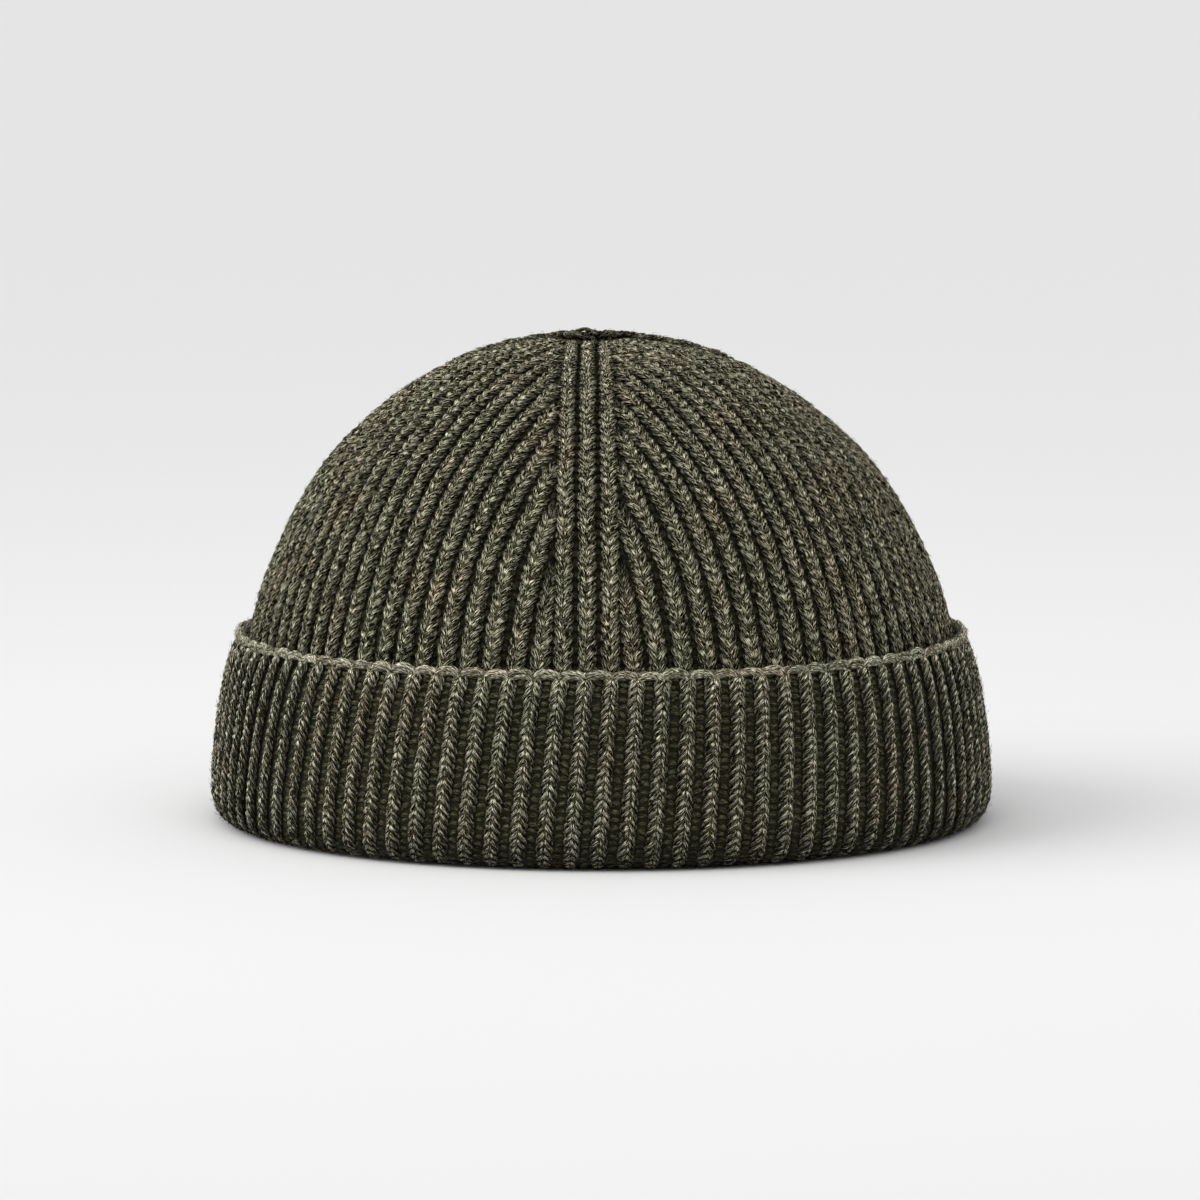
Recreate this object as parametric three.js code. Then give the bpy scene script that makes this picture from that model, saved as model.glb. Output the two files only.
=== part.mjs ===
// Fisherman beanie: a short ribbed knit cap with a turned-up cuff, standing by itself.
// Millimetres, +Z up, the front column of decreases towards -Y.
// Origin: the middle of the ring that the cap stands on, at the height of that ring.

import * as THREE from 'three';
import { mergeVertices } from 'three/addons/utils/BufferGeometryUtils.js';

// Driving dimensions
const CAP_HEIGHT = 111;            // floor to the highest ribs of the dome
const CROWN_BASE_RADIUS = 81;      // over the ribs, where the dome meets the cuff's top
const CROWN_WALL = 3.4;            // the crown's fabric over its ribs
const CROWN_RIB_DEPTH = 1.5;       // from the top of a rib to the bottom of a furrow
const CUFF_HEIGHT = 44.5;          // floor to the top of the cast-on edge
const CUFF_BULGE_RADIUS = 89.8;    // widest part of the cuff, just above the fold
const CUFF_TOP_WALL = 3.1;         // the cuff's fabric just under the cast-on edge
const CUFF_FOOT_WALL = 3.8;        // the cuff's fabric just above the fold
const CUFF_RIB_DEPTH = 1.4;        // furrow depth on the cuff
const CUFF_LEAN_DEG = -2.2;        // turn of a cuff rib from the top of the cuff to its foot
const FOLD_HEIGHT = 6;             // floor to the ledge that the crown's lower end stands on
const FOLD_ROUND = 3;              // how far the outside of the fold runs in to the resting ring
const FOLD_SHOULDER_Z = 1.8;       // height of the corner halfway round the fold's outside
const FOLD_SHOULDER_IN = 1;        // that corner's distance in from the bulge
const FOLD_INNER_ROUND = 1;        // rounding of the fold's inside edge
const EDGE_HEIGHT = 2.2;           // the cast-on edge, measured up
const EDGE_WALL = 2.9;             // the cast-on edge, measured out from the crown
const EDGE_CORNER = 0.55;          // bevel that rounds the cast-on edge
const TIE_LOOP_RADIUS = 1.5;       // the closing yarn loop at the top, to the yarn's middle
const TIE_YARN_RADIUS = 0.6;
const TIE_TILT_DEG = 20;

// Knit layout
const WEDGES = 4;                  // wedges, and columns of decreases between them
const COLUMN_RIBS = 3;             // ribs in each column
const WEDGE_RIBS = 20;             // ribs of a wedge at the dome's base, ending in pairs
const COLUMN_TURN_DEG = -2.3;      // turn of the front column from straight ahead
const TOP_SHIFT = -3;              // the dome's top stands this far to one side
const TOP_HOLE_RADIUS = 2;         // ring of last stitches that the tie draws shut

// Clearance between pieces that lie on each other
const FIT_GAP = 0.3;

// Dome outline over the ribs: height as a share of the dome above the cuff's top,
// radius as a share of CROWN_BASE_RADIUS
const DOME_SECTIONS = [
  { height: 0.00, radius: 1.000 },
  { height: 0.15, radius: 0.967 },
  { height: 0.30, radius: 0.915 },
  { height: 0.45, radius: 0.850 },
  { height: 0.60, radius: 0.762 },
  { height: 0.72, radius: 0.660 },
  { height: 0.82, radius: 0.555 },
  { height: 0.90, radius: 0.440 },
  { height: 0.955, radius: 0.325 },
  { height: 0.990, radius: 0.190 },
  { height: 1.000, radius: 0.095 },
];
const TOP_DIMPLE = 0.012;          // dip of the drawn-up top, as a share of the dome's height

// Cuff outline over the ribs: height as a share of the cuff from the fold's ledge to its top,
// flare as a share of the way from the top radius to CUFF_BULGE_RADIUS
const CUFF_SECTIONS = [
  { height: 1.00, flare: -0.14 },
  { height: 0.96, flare: 0.05 },
  { height: 0.78, flare: 0.36 },
  { height: 0.52, flare: 0.71 },
  { height: 0.22, flare: 0.96 },
  { height: 0.00, flare: 0.97 },
];

// Mesh fineness
const DOME_ROWS = 17;              // rings of the dome's outside
const INNER_DOME_ROWS = 9;         // rings of its inside
const INNER_SIDES = 46;
const CUFF_INNER_SIDES = 92;
const EDGE_SIDES = 92;
const TIE_YARN_SIDES = 8;
const TIE_STEPS = 16;
const MERGE_DISTANCE = 1e-4;
const ANGLE_MERGE = 1e-5;

// Worked out from the above
const RIB_COUNT = WEDGES * (COLUMN_RIBS + WEDGE_RIBS);
const RIB_PITCH = 2 * Math.PI * CROWN_BASE_RADIUS / RIB_COUNT;
const WEDGE_ANGLE = 2 * Math.PI / WEDGES;
const FRONT_COLUMN = -Math.PI / 2 + THREE.MathUtils.degToRad(COLUMN_TURN_DEG);
const FIRST_FURROW = FRONT_COLUMN - Math.PI * COLUMN_RIBS / RIB_COUNT;
const DOME_HEIGHT = CAP_HEIGHT - CUFF_HEIGHT;
const BAND_FOOT_RADIUS = CUFF_BULGE_RADIUS - CUFF_FOOT_WALL - FIT_GAP;
const BAND_FOOT_Z = FOLD_HEIGHT + FIT_GAP;
const CUFF_TOP_Z = CUFF_HEIGHT - EDGE_HEIGHT - FIT_GAP;

// Colours and finishes
const KNIT = { color: 0x4b4a39, roughness: 0.95, metalness: 0 };
const CUFF_KNIT = { color: 0x42412f, roughness: 0.95, metalness: 0 };
const EDGE_KNIT = { color: 0x6e6b58, roughness: 0.95, metalness: 0 };
const TIE_KNIT = { color: 0x2f2e22, roughness: 0.95, metalness: 0 };

/** Collects rings of points and the triangles between them into one closed body. */
class RingMesh {
  constructor() {
    this.points = [];
    this.triangles = [];
  }

  /** Adds a ring of points and returns where it starts and how many it has. */
  addRing(points) {
    const start = this.points.length;
    this.points.push(...points);
    return { start, count: points.length };
  }

  /** Joins two rings of equal count; low below high makes a wall that faces away from the axis. */
  band(low, high) {
    for (let i = 0; i < low.count; i += 1) {
      const next = (i + 1) % low.count;
      const [a, b] = [low.start + i, low.start + next];
      const [c, d] = [high.start + next, high.start + i];
      this.triangles.push([a, b, c], [a, c, d]);
    }
  }

  /** Joins two rings of unlike counts whose points are evenly spaced from one angle. */
  zip(low, high) {
    let i = 0;
    let j = 0;
    while (i < low.count || j < high.count) {
      const a = low.start + (i % low.count);
      const d = high.start + (j % high.count);
      const lowIsNext = (i + 1) * high.count <= (j + 1) * low.count;
      if (lowIsNext) {
        this.triangles.push([a, low.start + ((i + 1) % low.count), d]);
        i += 1;
      } else {
        this.triangles.push([a, high.start + ((j + 1) % high.count), d]);
        j += 1;
      }
    }
  }

  /** Closes a ring to one point. */
  fan(ring, tip) {
    const top = this.addRing([tip]).start;
    for (let i = 0; i < ring.count; i += 1) {
      this.triangles.push([ring.start + i, ring.start + ((i + 1) % ring.count), top]);
    }
  }

  /** Closes a ring to one point, with the outside below. */
  fanBelow(ring, tip) {
    const top = this.addRing([tip]).start;
    for (let i = 0; i < ring.count; i += 1) {
      this.triangles.push([ring.start + ((i + 1) % ring.count), ring.start + i, top]);
    }
  }

  /** The body as a geometry, with shared points merged and empty triangles left out. */
  geometry() {
    const raw = new THREE.BufferGeometry();
    const flat = this.points.flatMap((p) => [p.x, p.y, p.z]);
    raw.setAttribute('position', new THREE.Float32BufferAttribute(flat, 3));
    raw.setIndex(this.triangles.flat());
    const merged = mergeVertices(raw, MERGE_DISTANCE);
    const index = merged.getIndex().array;
    const kept = [];
    for (let t = 0; t < index.length; t += 3) {
      const [a, b, c] = [index[t], index[t + 1], index[t + 2]];
      if (a !== b && b !== c && c !== a) {
        kept.push(a, b, c);
      }
    }
    merged.setIndex(kept);
    merged.computeVertexNormals();
    return merged;
  }
}

/** A named mesh with its own material. */
function piece(name, geometry, look) {
  const mesh = new THREE.Mesh(geometry, new THREE.MeshStandardMaterial(look));
  mesh.name = name;
  return mesh;
}

/** A point of a ring at an azimuth. */
function polar(radius, azimuth, z, centreX = 0) {
  return new THREE.Vector3(
    centreX + radius * Math.cos(azimuth),
    radius * Math.sin(azimuth),
    z,
  );
}

/** A plain round ring of points from a starting azimuth. */
function roundRing(radius, z, sides, start, centreX = 0) {
  return Array.from({ length: sides }, (_, i) => (
    polar(radius, start + 2 * Math.PI * i / sides, z, centreX)));
}

/** How far a ring of this radius has moved sideways towards the leaning top. */
function leanShift(radius) {
  return TOP_SHIFT * Math.max(0, 1 - radius / CROWN_BASE_RADIUS);
}

/** The dome's outline over the ribs as (radius, height) points with outward normals. */
function domeOutline(rows) {
  const points = DOME_SECTIONS.map((s) => new THREE.Vector2(
    s.radius * CROWN_BASE_RADIUS,
    CUFF_HEIGHT + s.height * DOME_HEIGHT,
  ));
  const curve = new THREE.SplineCurve(points);
  return Array.from({ length: rows + 1 }, (_, i) => {
    const at = curve.getPointAt(i / rows);
    const along = curve.getTangentAt(i / rows);
    return { radius: at.x, z: at.y, normal: new THREE.Vector2(along.y, -along.x) };
  });
}

/** The ribs that a ring crosses: azimuths from the front column, in pairs of furrow and rib. */
function wedgeRing(radius) {
  const columnsFull = WEDGES * COLUMN_RIBS * RIB_PITCH;
  const pitch = Math.min(RIB_PITCH, RIB_PITCH * 2 * Math.PI * radius / columnsFull);
  const step = pitch / radius;
  const halfColumn = COLUMN_RIBS / 2 * step;
  const halfWedge = Math.max(0, WEDGE_ANGLE / 2 - halfColumn);
  const marks = [];
  for (let w = 0; w < WEDGES; w += 1) {
    const column = FRONT_COLUMN + w * WEDGE_ANGLE;
    for (let k = 0; k < 2 * COLUMN_RIBS; k += 1) {
      marks.push({ azimuth: column - halfColumn + k * step / 2, rib: k % 2 === 1 });
    }
    const middle = column + WEDGE_ANGLE / 2;
    for (let k = 0; k < 2 * WEDGE_RIBS; k += 1) {
      const offset = (k - WEDGE_RIBS) * step / 2;
      const ended = Math.abs(offset) > halfWedge - ANGLE_MERGE;
      const held = ended ? Math.sign(offset) * halfWedge : offset;
      marks.push({ azimuth: middle + held, rib: k % 2 === 1 && !ended });
    }
  }
  return marks;
}

/** One ribbed ring of the crown's outside. */
function crownRing({ radius, z, normal }) {
  return wedgeRing(radius).map(({ azimuth, rib }) => {
    const sink = rib ? 0 : -CROWN_RIB_DEPTH;
    return polar(radius + normal.x * sink, azimuth, z + normal.y * sink, leanShift(radius));
  });
}

/** The crown: ribbed dome and lower band, hollow and open below. */
function makeCrown() {
  const mesh = new RingMesh();
  const bandFoot = { radius: BAND_FOOT_RADIUS, z: BAND_FOOT_Z };
  const bandNormal = new THREE.Vector2(1, 0);
  // The lower band keeps the rib azimuths of the dome's base
  const baseMarks = wedgeRing(CROWN_BASE_RADIUS);
  const footRing = baseMarks.map(({ azimuth, rib }) => (
    polar(bandFoot.radius - (rib ? 0 : CROWN_RIB_DEPTH), azimuth, bandFoot.z)));
  const outerFoot = mesh.addRing(footRing);

  let below = outerFoot;
  const outline = domeOutline(DOME_ROWS);
  for (const row of outline) {
    const ring = mesh.addRing(crownRing(row));
    mesh.band(below, ring);
    below = ring;
  }
  const lastRow = outline[DOME_ROWS];
  const topZ = CUFF_HEIGHT + DOME_HEIGHT * (1 - TOP_DIMPLE);
  const hole = { radius: TOP_HOLE_RADIUS, z: topZ, normal: new THREE.Vector2(0, 1) };
  const holeRing = mesh.addRing(crownRing(hole));
  mesh.band(below, holeRing);
  mesh.fan(holeRing, new THREE.Vector3(leanShift(0), 0, topZ - CROWN_RIB_DEPTH));

  // Inside: a smooth skin one wall further in
  const innerFoot = mesh.addRing(
    roundRing(bandFoot.radius - CROWN_WALL, bandFoot.z, INNER_SIDES, FIRST_FURROW));
  mesh.zip(innerFoot, outerFoot);
  below = innerFoot;
  for (const row of domeOutline(INNER_DOME_ROWS)) {
    const normal = row.z === CUFF_HEIGHT ? bandNormal : row.normal;
    const ring = mesh.addRing(roundRing(
      row.radius - normal.x * CROWN_WALL,
      row.z - normal.y * CROWN_WALL,
      INNER_SIDES,
      FIRST_FURROW,
      leanShift(row.radius),
    ));
    mesh.band(ring, below);
    below = ring;
  }
  mesh.fanBelow(below, new THREE.Vector3(leanShift(0), 0, lastRow.z - CROWN_WALL));
  return piece('crown', mesh.geometry(), KNIT);
}

/** Radius of the crown's outside, over its ribs, at a height within the cuff. */
function bandRadius(z) {
  const share = (CUFF_HEIGHT - z) / (CUFF_HEIGHT - BAND_FOOT_Z);
  return THREE.MathUtils.lerp(CROWN_BASE_RADIUS, BAND_FOOT_RADIUS, share);
}

/** Azimuth of the cuff's first rib at a height; the ribs lean with the cuff's twist. */
function cuffStart(z) {
  return FRONT_COLUMN + THREE.MathUtils.degToRad(CUFF_LEAN_DEG) * (1 - z / CUFF_HEIGHT);
}

/** One ribbed ring of the cuff's outside. */
function cuffRing(radius, z, depth) {
  return Array.from({ length: 2 * RIB_COUNT }, (_, k) => {
    const azimuth = cuffStart(z) + Math.PI * k / RIB_COUNT;
    return polar(radius - (k % 2 === 0 ? 0 : depth), azimuth, z);
  });
}

/** One smooth ring of the cuff's inside. */
function cuffInnerRing(radius, z) {
  return roundRing(radius, z, CUFF_INNER_SIDES, cuffStart(z));
}

/** The cuff: turned-up band and the rounded fold that the cap stands on. */
function makeCuff() {
  const mesh = new RingMesh();
  const topOuter = bandRadius(CUFF_TOP_Z) + FIT_GAP + CUFF_TOP_WALL;
  const footInner = BAND_FOOT_RADIUS - CROWN_WALL;
  const restOuter = CUFF_BULGE_RADIUS - FOLD_ROUND;
  const restInner = footInner + FOLD_INNER_ROUND;

  // Underside: a flat resting ring, flattened by the cap's own weight
  const resting = mesh.addRing(cuffRing(restOuter, 0, 0));
  const innerRest = mesh.addRing(cuffInnerRing(restInner, 0));
  mesh.zip(innerRest, resting);

  // Outside, from the fold up to just under the cast-on edge
  const shoulder = mesh.addRing(
    cuffRing(CUFF_BULGE_RADIUS - FOLD_SHOULDER_IN, FOLD_SHOULDER_Z, CUFF_RIB_DEPTH / 2));
  mesh.band(resting, shoulder);
  let below = shoulder;
  for (const row of [...CUFF_SECTIONS].reverse()) {
    const radius = THREE.MathUtils.lerp(topOuter, CUFF_BULGE_RADIUS, row.flare);
    const z = THREE.MathUtils.lerp(FOLD_HEIGHT, CUFF_TOP_Z, row.height);
    const ring = mesh.addRing(cuffRing(radius, z, CUFF_RIB_DEPTH));
    mesh.band(below, ring);
    below = ring;
  }

  // Inside: down along the crown's band, the ledge under it, and the fold's inner face
  const innerTop = mesh.addRing(
    cuffInnerRing(bandRadius(CUFF_TOP_Z) + FIT_GAP, CUFF_TOP_Z));
  mesh.zip(below, innerTop);
  const innerLow = mesh.addRing(
    cuffInnerRing(bandRadius(FOLD_HEIGHT) + FIT_GAP, FOLD_HEIGHT));
  mesh.band(innerTop, innerLow);
  const ledge = mesh.addRing(cuffInnerRing(footInner, FOLD_HEIGHT));
  mesh.band(innerLow, ledge);
  const innerFace = mesh.addRing(cuffInnerRing(footInner, FOLD_INNER_ROUND));
  mesh.band(ledge, innerFace);
  mesh.band(innerFace, innerRest);
  return piece('cuff', mesh.geometry(), CUFF_KNIT);
}

/** The cast-on edge: a rounded cord of stitches along the cuff's top. */
function makeCuffEdge() {
  const foot = CUFF_HEIGHT - EDGE_HEIGHT;
  const inner = bandRadius(foot) + FIT_GAP;
  const section = new THREE.Shape();
  const outer = inner + EDGE_WALL;
  section.moveTo(inner + EDGE_CORNER, foot);
  section.lineTo(outer - EDGE_CORNER, foot);
  section.lineTo(outer, foot + EDGE_CORNER);
  section.lineTo(outer, CUFF_HEIGHT - EDGE_CORNER);
  section.lineTo(outer - EDGE_CORNER, CUFF_HEIGHT);
  section.lineTo(inner, CUFF_HEIGHT);
  section.lineTo(inner, foot + EDGE_CORNER);
  section.closePath();
  const lathe = new THREE.LatheGeometry(section.getPoints(), EDGE_SIDES);
  lathe.rotateX(Math.PI / 2);
  return piece('cuff_edge', lathe, EDGE_KNIT);
}

/** The yarn loop that draws the last stitches shut, lying in the dip at the top. */
function makeClosureTie() {
  const loop = new THREE.TorusGeometry(
    TIE_LOOP_RADIUS, TIE_YARN_RADIUS, TIE_YARN_SIDES, TIE_STEPS);
  const tie = piece('closure_tie', loop, TIE_KNIT);
  const tilt = THREE.MathUtils.degToRad(TIE_TILT_DEG);
  const topRibZ = CUFF_HEIGHT + DOME_HEIGHT * (1 - TOP_DIMPLE);
  const lowest = TIE_LOOP_RADIUS * Math.sin(tilt) + TIE_YARN_RADIUS;
  tie.rotation.x = tilt;
  tie.position.set(leanShift(0), 0, topRibZ + FIT_GAP + lowest);
  return tie;
}

const beanie = new THREE.Group();
beanie.add(makeCrown(), makeCuff(), makeCuffEdge(), makeClosureTie());

export default beanie;
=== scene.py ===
"""Fisherman beanie in ribbed melange knit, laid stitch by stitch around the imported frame."""

import logging
import math
from dataclasses import dataclass, field, replace
from enum import Enum
from typing import Optional

import bpy
import numpy as np
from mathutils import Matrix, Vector


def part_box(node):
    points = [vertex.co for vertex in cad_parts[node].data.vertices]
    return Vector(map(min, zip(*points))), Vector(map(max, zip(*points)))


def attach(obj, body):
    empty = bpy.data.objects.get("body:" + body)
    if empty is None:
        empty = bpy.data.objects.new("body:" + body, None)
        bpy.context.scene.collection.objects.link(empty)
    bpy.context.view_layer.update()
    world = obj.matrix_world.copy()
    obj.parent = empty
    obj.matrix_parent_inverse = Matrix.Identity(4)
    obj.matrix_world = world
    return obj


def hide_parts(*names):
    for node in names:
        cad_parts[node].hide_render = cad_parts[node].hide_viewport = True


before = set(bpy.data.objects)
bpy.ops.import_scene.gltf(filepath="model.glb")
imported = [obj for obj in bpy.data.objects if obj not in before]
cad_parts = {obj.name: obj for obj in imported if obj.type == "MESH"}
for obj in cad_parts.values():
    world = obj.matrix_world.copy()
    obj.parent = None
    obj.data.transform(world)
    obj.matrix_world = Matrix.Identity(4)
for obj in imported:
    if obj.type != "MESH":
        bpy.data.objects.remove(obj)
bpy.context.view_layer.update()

BODY = "root"
MM = 0.001
TINY = 1e-12
UPWARD = (0.0, 0.0, 1.0)
LOG = logging.getLogger("beanie")


class Part(Enum):
    """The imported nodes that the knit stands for, each with its material slot."""

    CROWN = ("crown", "crown_knit")
    CUFF = ("cuff", "cuff_knit")
    EDGE = ("cuff_edge", "edge_knit")
    TIE = ("closure_tie", "tie_yarn")

    @property
    def node(self) -> str:
        """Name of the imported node."""
        return self.value[0]

    @property
    def slot(self) -> str:
        """Name of the record's material slot."""
        return self.value[1]


class Region(Enum):
    """Which half of a field of stitches a piece holds."""

    FRONT = "front"
    BACK = "back"


# Plain sums on arrays of points


def unit(vectors: np.ndarray) -> np.ndarray:
    """Scales vectors to length one.

    Args:
        vectors: Array whose last axis holds x, y, z.

    Returns:
        The unit vectors, same shape.
    """
    return vectors / np.maximum(np.linalg.norm(vectors, axis=-1, keepdims=True), TINY)


def smooth_step(value: np.ndarray, start: float = 0.0, reach: float = 1.0) -> np.ndarray:
    """Eases values from 0 to 1.

    Args:
        value: The values.
        start: Where the rise begins; anything before it gives 0.
        reach: Length of the rise; anything beyond it gives 1.

    Returns:
        The eased values.
    """
    held = np.clip((value - start) / reach, 0.0, 1.0)
    return held * held * (3.0 - 2.0 * held)


def hump(value: np.ndarray, middle: float, reach: float) -> np.ndarray:
    """Raises a soft hump over one value.

    Args:
        value: Where the hump is read.
        middle: The value at which it is 1.
        reach: How far it runs to either side.

    Returns:
        Its height at each value.
    """
    return np.exp(-((value - middle) / reach) ** 2)


def spline_through(points: np.ndarray, per_span: int = 24) -> np.ndarray:
    """Runs a smooth curve through given points.

    Args:
        points: The points, one a row.
        per_span: Samples between two neighbours.

    Returns:
        Dense points along a Catmull-Rom curve.
    """
    padded = np.vstack([2 * points[0] - points[1], points, 2 * points[-1] - points[-2]])
    share = np.arange(per_span)[:, None] / per_span
    spans = []
    for a, b, c, d in zip(padded[:-3], padded[1:-2], padded[2:-1], padded[3:]):
        spans.append(
            0.5 * (2 * b + (c - a) * share + (2 * a - 5 * b + 4 * c - d) * share ** 2
                   + (3 * b - a - 3 * c + d) * share ** 3))
    return np.vstack(spans + [points[-1:]])


@dataclass(frozen=True)
class Outline:
    """A half outline of the knit over its ribs, read by the distance along it.

    Args:
        points: Dense rows of radius and height in millimetres, from the start on.
    """

    points: np.ndarray

    @property
    def travel(self) -> np.ndarray:
        """Distance of each point from the outline's start."""
        steps = np.linalg.norm(np.diff(self.points, axis=0), axis=1)
        return np.concatenate([[0.0], np.cumsum(steps)])

    @property
    def length(self) -> float:
        """Whole length in millimetres."""
        return float(self.travel[-1])

    def at(self, distance: np.ndarray) -> tuple[np.ndarray, np.ndarray]:
        """Reads the outline.

        Args:
            distance: Distances from the start in millimetres.

        Returns:
            Radius and height at each distance.
        """
        travel = self.travel
        return (np.interp(distance, travel, self.points[:, 0]),
                np.interp(distance, travel, self.points[:, 1]))

    def normal(self, distance: np.ndarray, reach: float = 0.6) -> tuple[np.ndarray, np.ndarray]:
        """Reads which way the knit faces.

        Args:
            distance: Distances from the start in millimetres.
            reach: Half the stretch that the slope is taken over.

        Returns:
            The outward normal's radial and upward parts, for an outline that runs upwards.
        """
        ahead = self.at(np.minimum(distance + reach, self.length))
        behind = self.at(np.maximum(distance - reach, 0.0))
        along_r, along_z = ahead[0] - behind[0], ahead[1] - behind[1]
        size = np.maximum(np.hypot(along_r, along_z), TINY)
        return along_z / size, -along_r / size


# The yarn's finishes

DYE_SCALE = 70.0
DYE_PATCHES = [(0.35, (0.97, 1.01, 0.98)), (0.5, (1.0, 1.0, 1.0)), (0.68, (1.06, 0.98, 0.95))]
SHEEN_TINT = (0.80, 0.76, 0.48, 1.0)


@dataclass
class Nodes:
    """A material's node tree with short calls to add and join nodes."""

    material: bpy.types.Material

    def __post_init__(self) -> None:
        """Starts an empty tree."""
        self.material.use_nodes = True
        self.tree = self.material.node_tree
        self.tree.nodes.clear()

    def add(self, kind: str, **settings: object) -> bpy.types.Node:
        """Adds a node.

        Args:
            kind: Blender's name for the node type, without its ShaderNode start.
            settings: Values for the node's own properties.

        Returns:
            The new node.
        """
        node = self.tree.nodes.new("ShaderNode" + kind)
        for key, value in settings.items():
            setattr(node, key, value)
        return node

    def join(self, source: bpy.types.NodeSocket, target: bpy.types.NodeSocket) -> None:
        """Links an output to an input."""
        self.tree.links.new(source, target)

    def math(self, operation: str, first: bpy.types.NodeSocket,
             second: float | bpy.types.NodeSocket) -> bpy.types.NodeSocket:
        """Adds a sum on two numbers.

        Args:
            operation: Blender's name for the sum.
            first: The first number's socket.
            second: A fixed number or another socket.

        Returns:
            The result's socket.
        """
        node = self.add("Math", operation=operation)
        self.join(first, node.inputs[0])
        if isinstance(second, (int, float)):
            node.inputs[1].default_value = second
        else:
            self.join(second, node.inputs[1])
        return node.outputs[0]

    def noise(self, vector: bpy.types.NodeSocket, scale: float, detail: float,
              roughness: float, flat: bool = False) -> bpy.types.NodeSocket:
        """Adds a noise texture.

        Args:
            vector: Where the noise is read.
            scale: Its scale.
            detail: Its octaves.
            roughness: How strong the fine octaves are.
            flat: Whether it is read in two dimensions.

        Returns:
            The noise value's socket.
        """
        node = self.add("TexNoise", noise_dimensions="2D" if flat else "3D")
        self.join(vector, node.inputs["Vector"])
        node.inputs["Scale"].default_value = scale
        node.inputs["Detail"].default_value = detail
        node.inputs["Roughness"].default_value = roughness
        return node.outputs["Fac"]

    def ramp(self, value: bpy.types.NodeSocket,
             stops: list[tuple[float, tuple[float, float, float]]]) -> bpy.types.NodeSocket:
        """Adds a colour ramp.

        Args:
            value: The number to colour.
            stops: Positions and their linear colours.

        Returns:
            The colour's socket.
        """
        node = self.add("ValToRGB")
        elements = node.color_ramp.elements
        while len(elements) < len(stops):
            elements.new(0.5)
        for element, (position, colour) in zip(elements, stops):
            element.position = position
            element.color = (*colour, 1.0)
        self.join(value, node.inputs["Fac"])
        return node.outputs["Color"]


@dataclass(frozen=True)
class YarnFinish:
    """Melange yarn: pale fibres drawn out along a dark strand, with faint patches of dye, its
    colour scaled by the painted shade and light that each vertex carries.

    Args:
        name: The material's name.
        shade: Linear colour of the yarn between its fibres.
        body: Linear colour of most fibres.
        pale: Linear colour of the palest fibres.
        fibre_length: Length of a streak in millimetres.
        fibre_width: Width of a streak in millimetres.
        sheen: Weight of the soft rim light on loose fibres.
        relief: Depth of the fibres in millimetres.
        twist: Angle of the streaks to the strand in degrees.
        tone_weight: How much a strand's own tone lifts the noise value.
        shade_at: Noise value that takes the shade colour.
        body_at: Noise value that takes the body colour; the higher, the darker the yarn.
        pale_at: Noise value that takes the pale colour.
    """

    name: str
    shade: tuple[float, float, float]
    body: tuple[float, float, float]
    pale: tuple[float, float, float]
    fibre_length: float = 1.4
    fibre_width: float = 0.17
    sheen: float = 0.025
    relief: float = 0.16
    twist: float = 12.0
    tone_weight: float = 0.05
    shade_at: float = 0.415
    body_at: float = 0.54
    pale_at: float = 0.622

    def build(self) -> bpy.types.Material:
        """Makes the material.

        Returns:
            The finished material.
        """
        material = bpy.data.materials.new(self.name)
        nodes = Nodes(material)
        yarn = nodes.add("UVMap", uv_map="Yarn")
        stretch = nodes.add("Mapping", vector_type="TEXTURE")
        stretch.inputs["Scale"].default_value = (self.fibre_length, self.fibre_width, 1.0)
        stretch.inputs["Rotation"].default_value = (0.0, 0.0, math.radians(self.twist))
        nodes.join(yarn.outputs["UV"], stretch.inputs["Vector"])
        fibres = nodes.noise(stretch.outputs["Vector"], 1.0, 2.0, 0.5, flat=True)
        tone = nodes.add("Attribute", attribute_name="tone")
        lift = nodes.math("MULTIPLY", tone.outputs["Fac"], self.tone_weight)
        colour = nodes.ramp(nodes.math("ADD", fibres, lift), [
            (self.shade_at, self.shade), (self.body_at, self.body), (self.pale_at, self.pale)])
        place = nodes.add("TexCoord")
        patch = nodes.noise(place.outputs["Object"], DYE_SCALE, 2.0, 0.5)
        dye = nodes.ramp(patch, DYE_PATCHES)
        tint = nodes.add("Mix", data_type="RGBA", blend_type="MULTIPLY")
        tint.inputs["Factor"].default_value = 1.0
        nodes.join(colour, tint.inputs["A"])
        nodes.join(dye, tint.inputs["B"])
        # Painted shade and light: the vertex shade attribute scales the colour, darker in furrows,
        # the crease and at the foot, brighter under the cuff's edge.
        shade = nodes.add("Attribute", attribute_name="shade")
        dimmed = nodes.add("VectorMath", operation="SCALE")
        nodes.join(tint.outputs["Result"], dimmed.inputs["Vector"])
        nodes.join(shade.outputs["Fac"], dimmed.inputs["Scale"])
        relief = nodes.add("Bump")
        relief.inputs["Strength"].default_value = 0.8
        relief.inputs["Distance"].default_value = self.relief * MM
        nodes.join(fibres, relief.inputs["Height"])
        shader = nodes.add("BsdfPrincipled")
        shader.inputs["Roughness"].default_value = 0.9
        shader.inputs["Specular IOR Level"].default_value = 0.05
        shader.inputs["Sheen Weight"].default_value = self.sheen
        shader.inputs["Sheen Roughness"].default_value = 0.5
        shader.inputs["Sheen Tint"].default_value = SHEEN_TINT
        nodes.join(dimmed.outputs["Vector"], shader.inputs["Base Color"])
        nodes.join(relief.outputs["Normal"], shader.inputs["Normal"])
        output = nodes.add("OutputMaterial")
        nodes.join(shader.outputs["BSDF"], output.inputs["Surface"])
        return material


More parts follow.
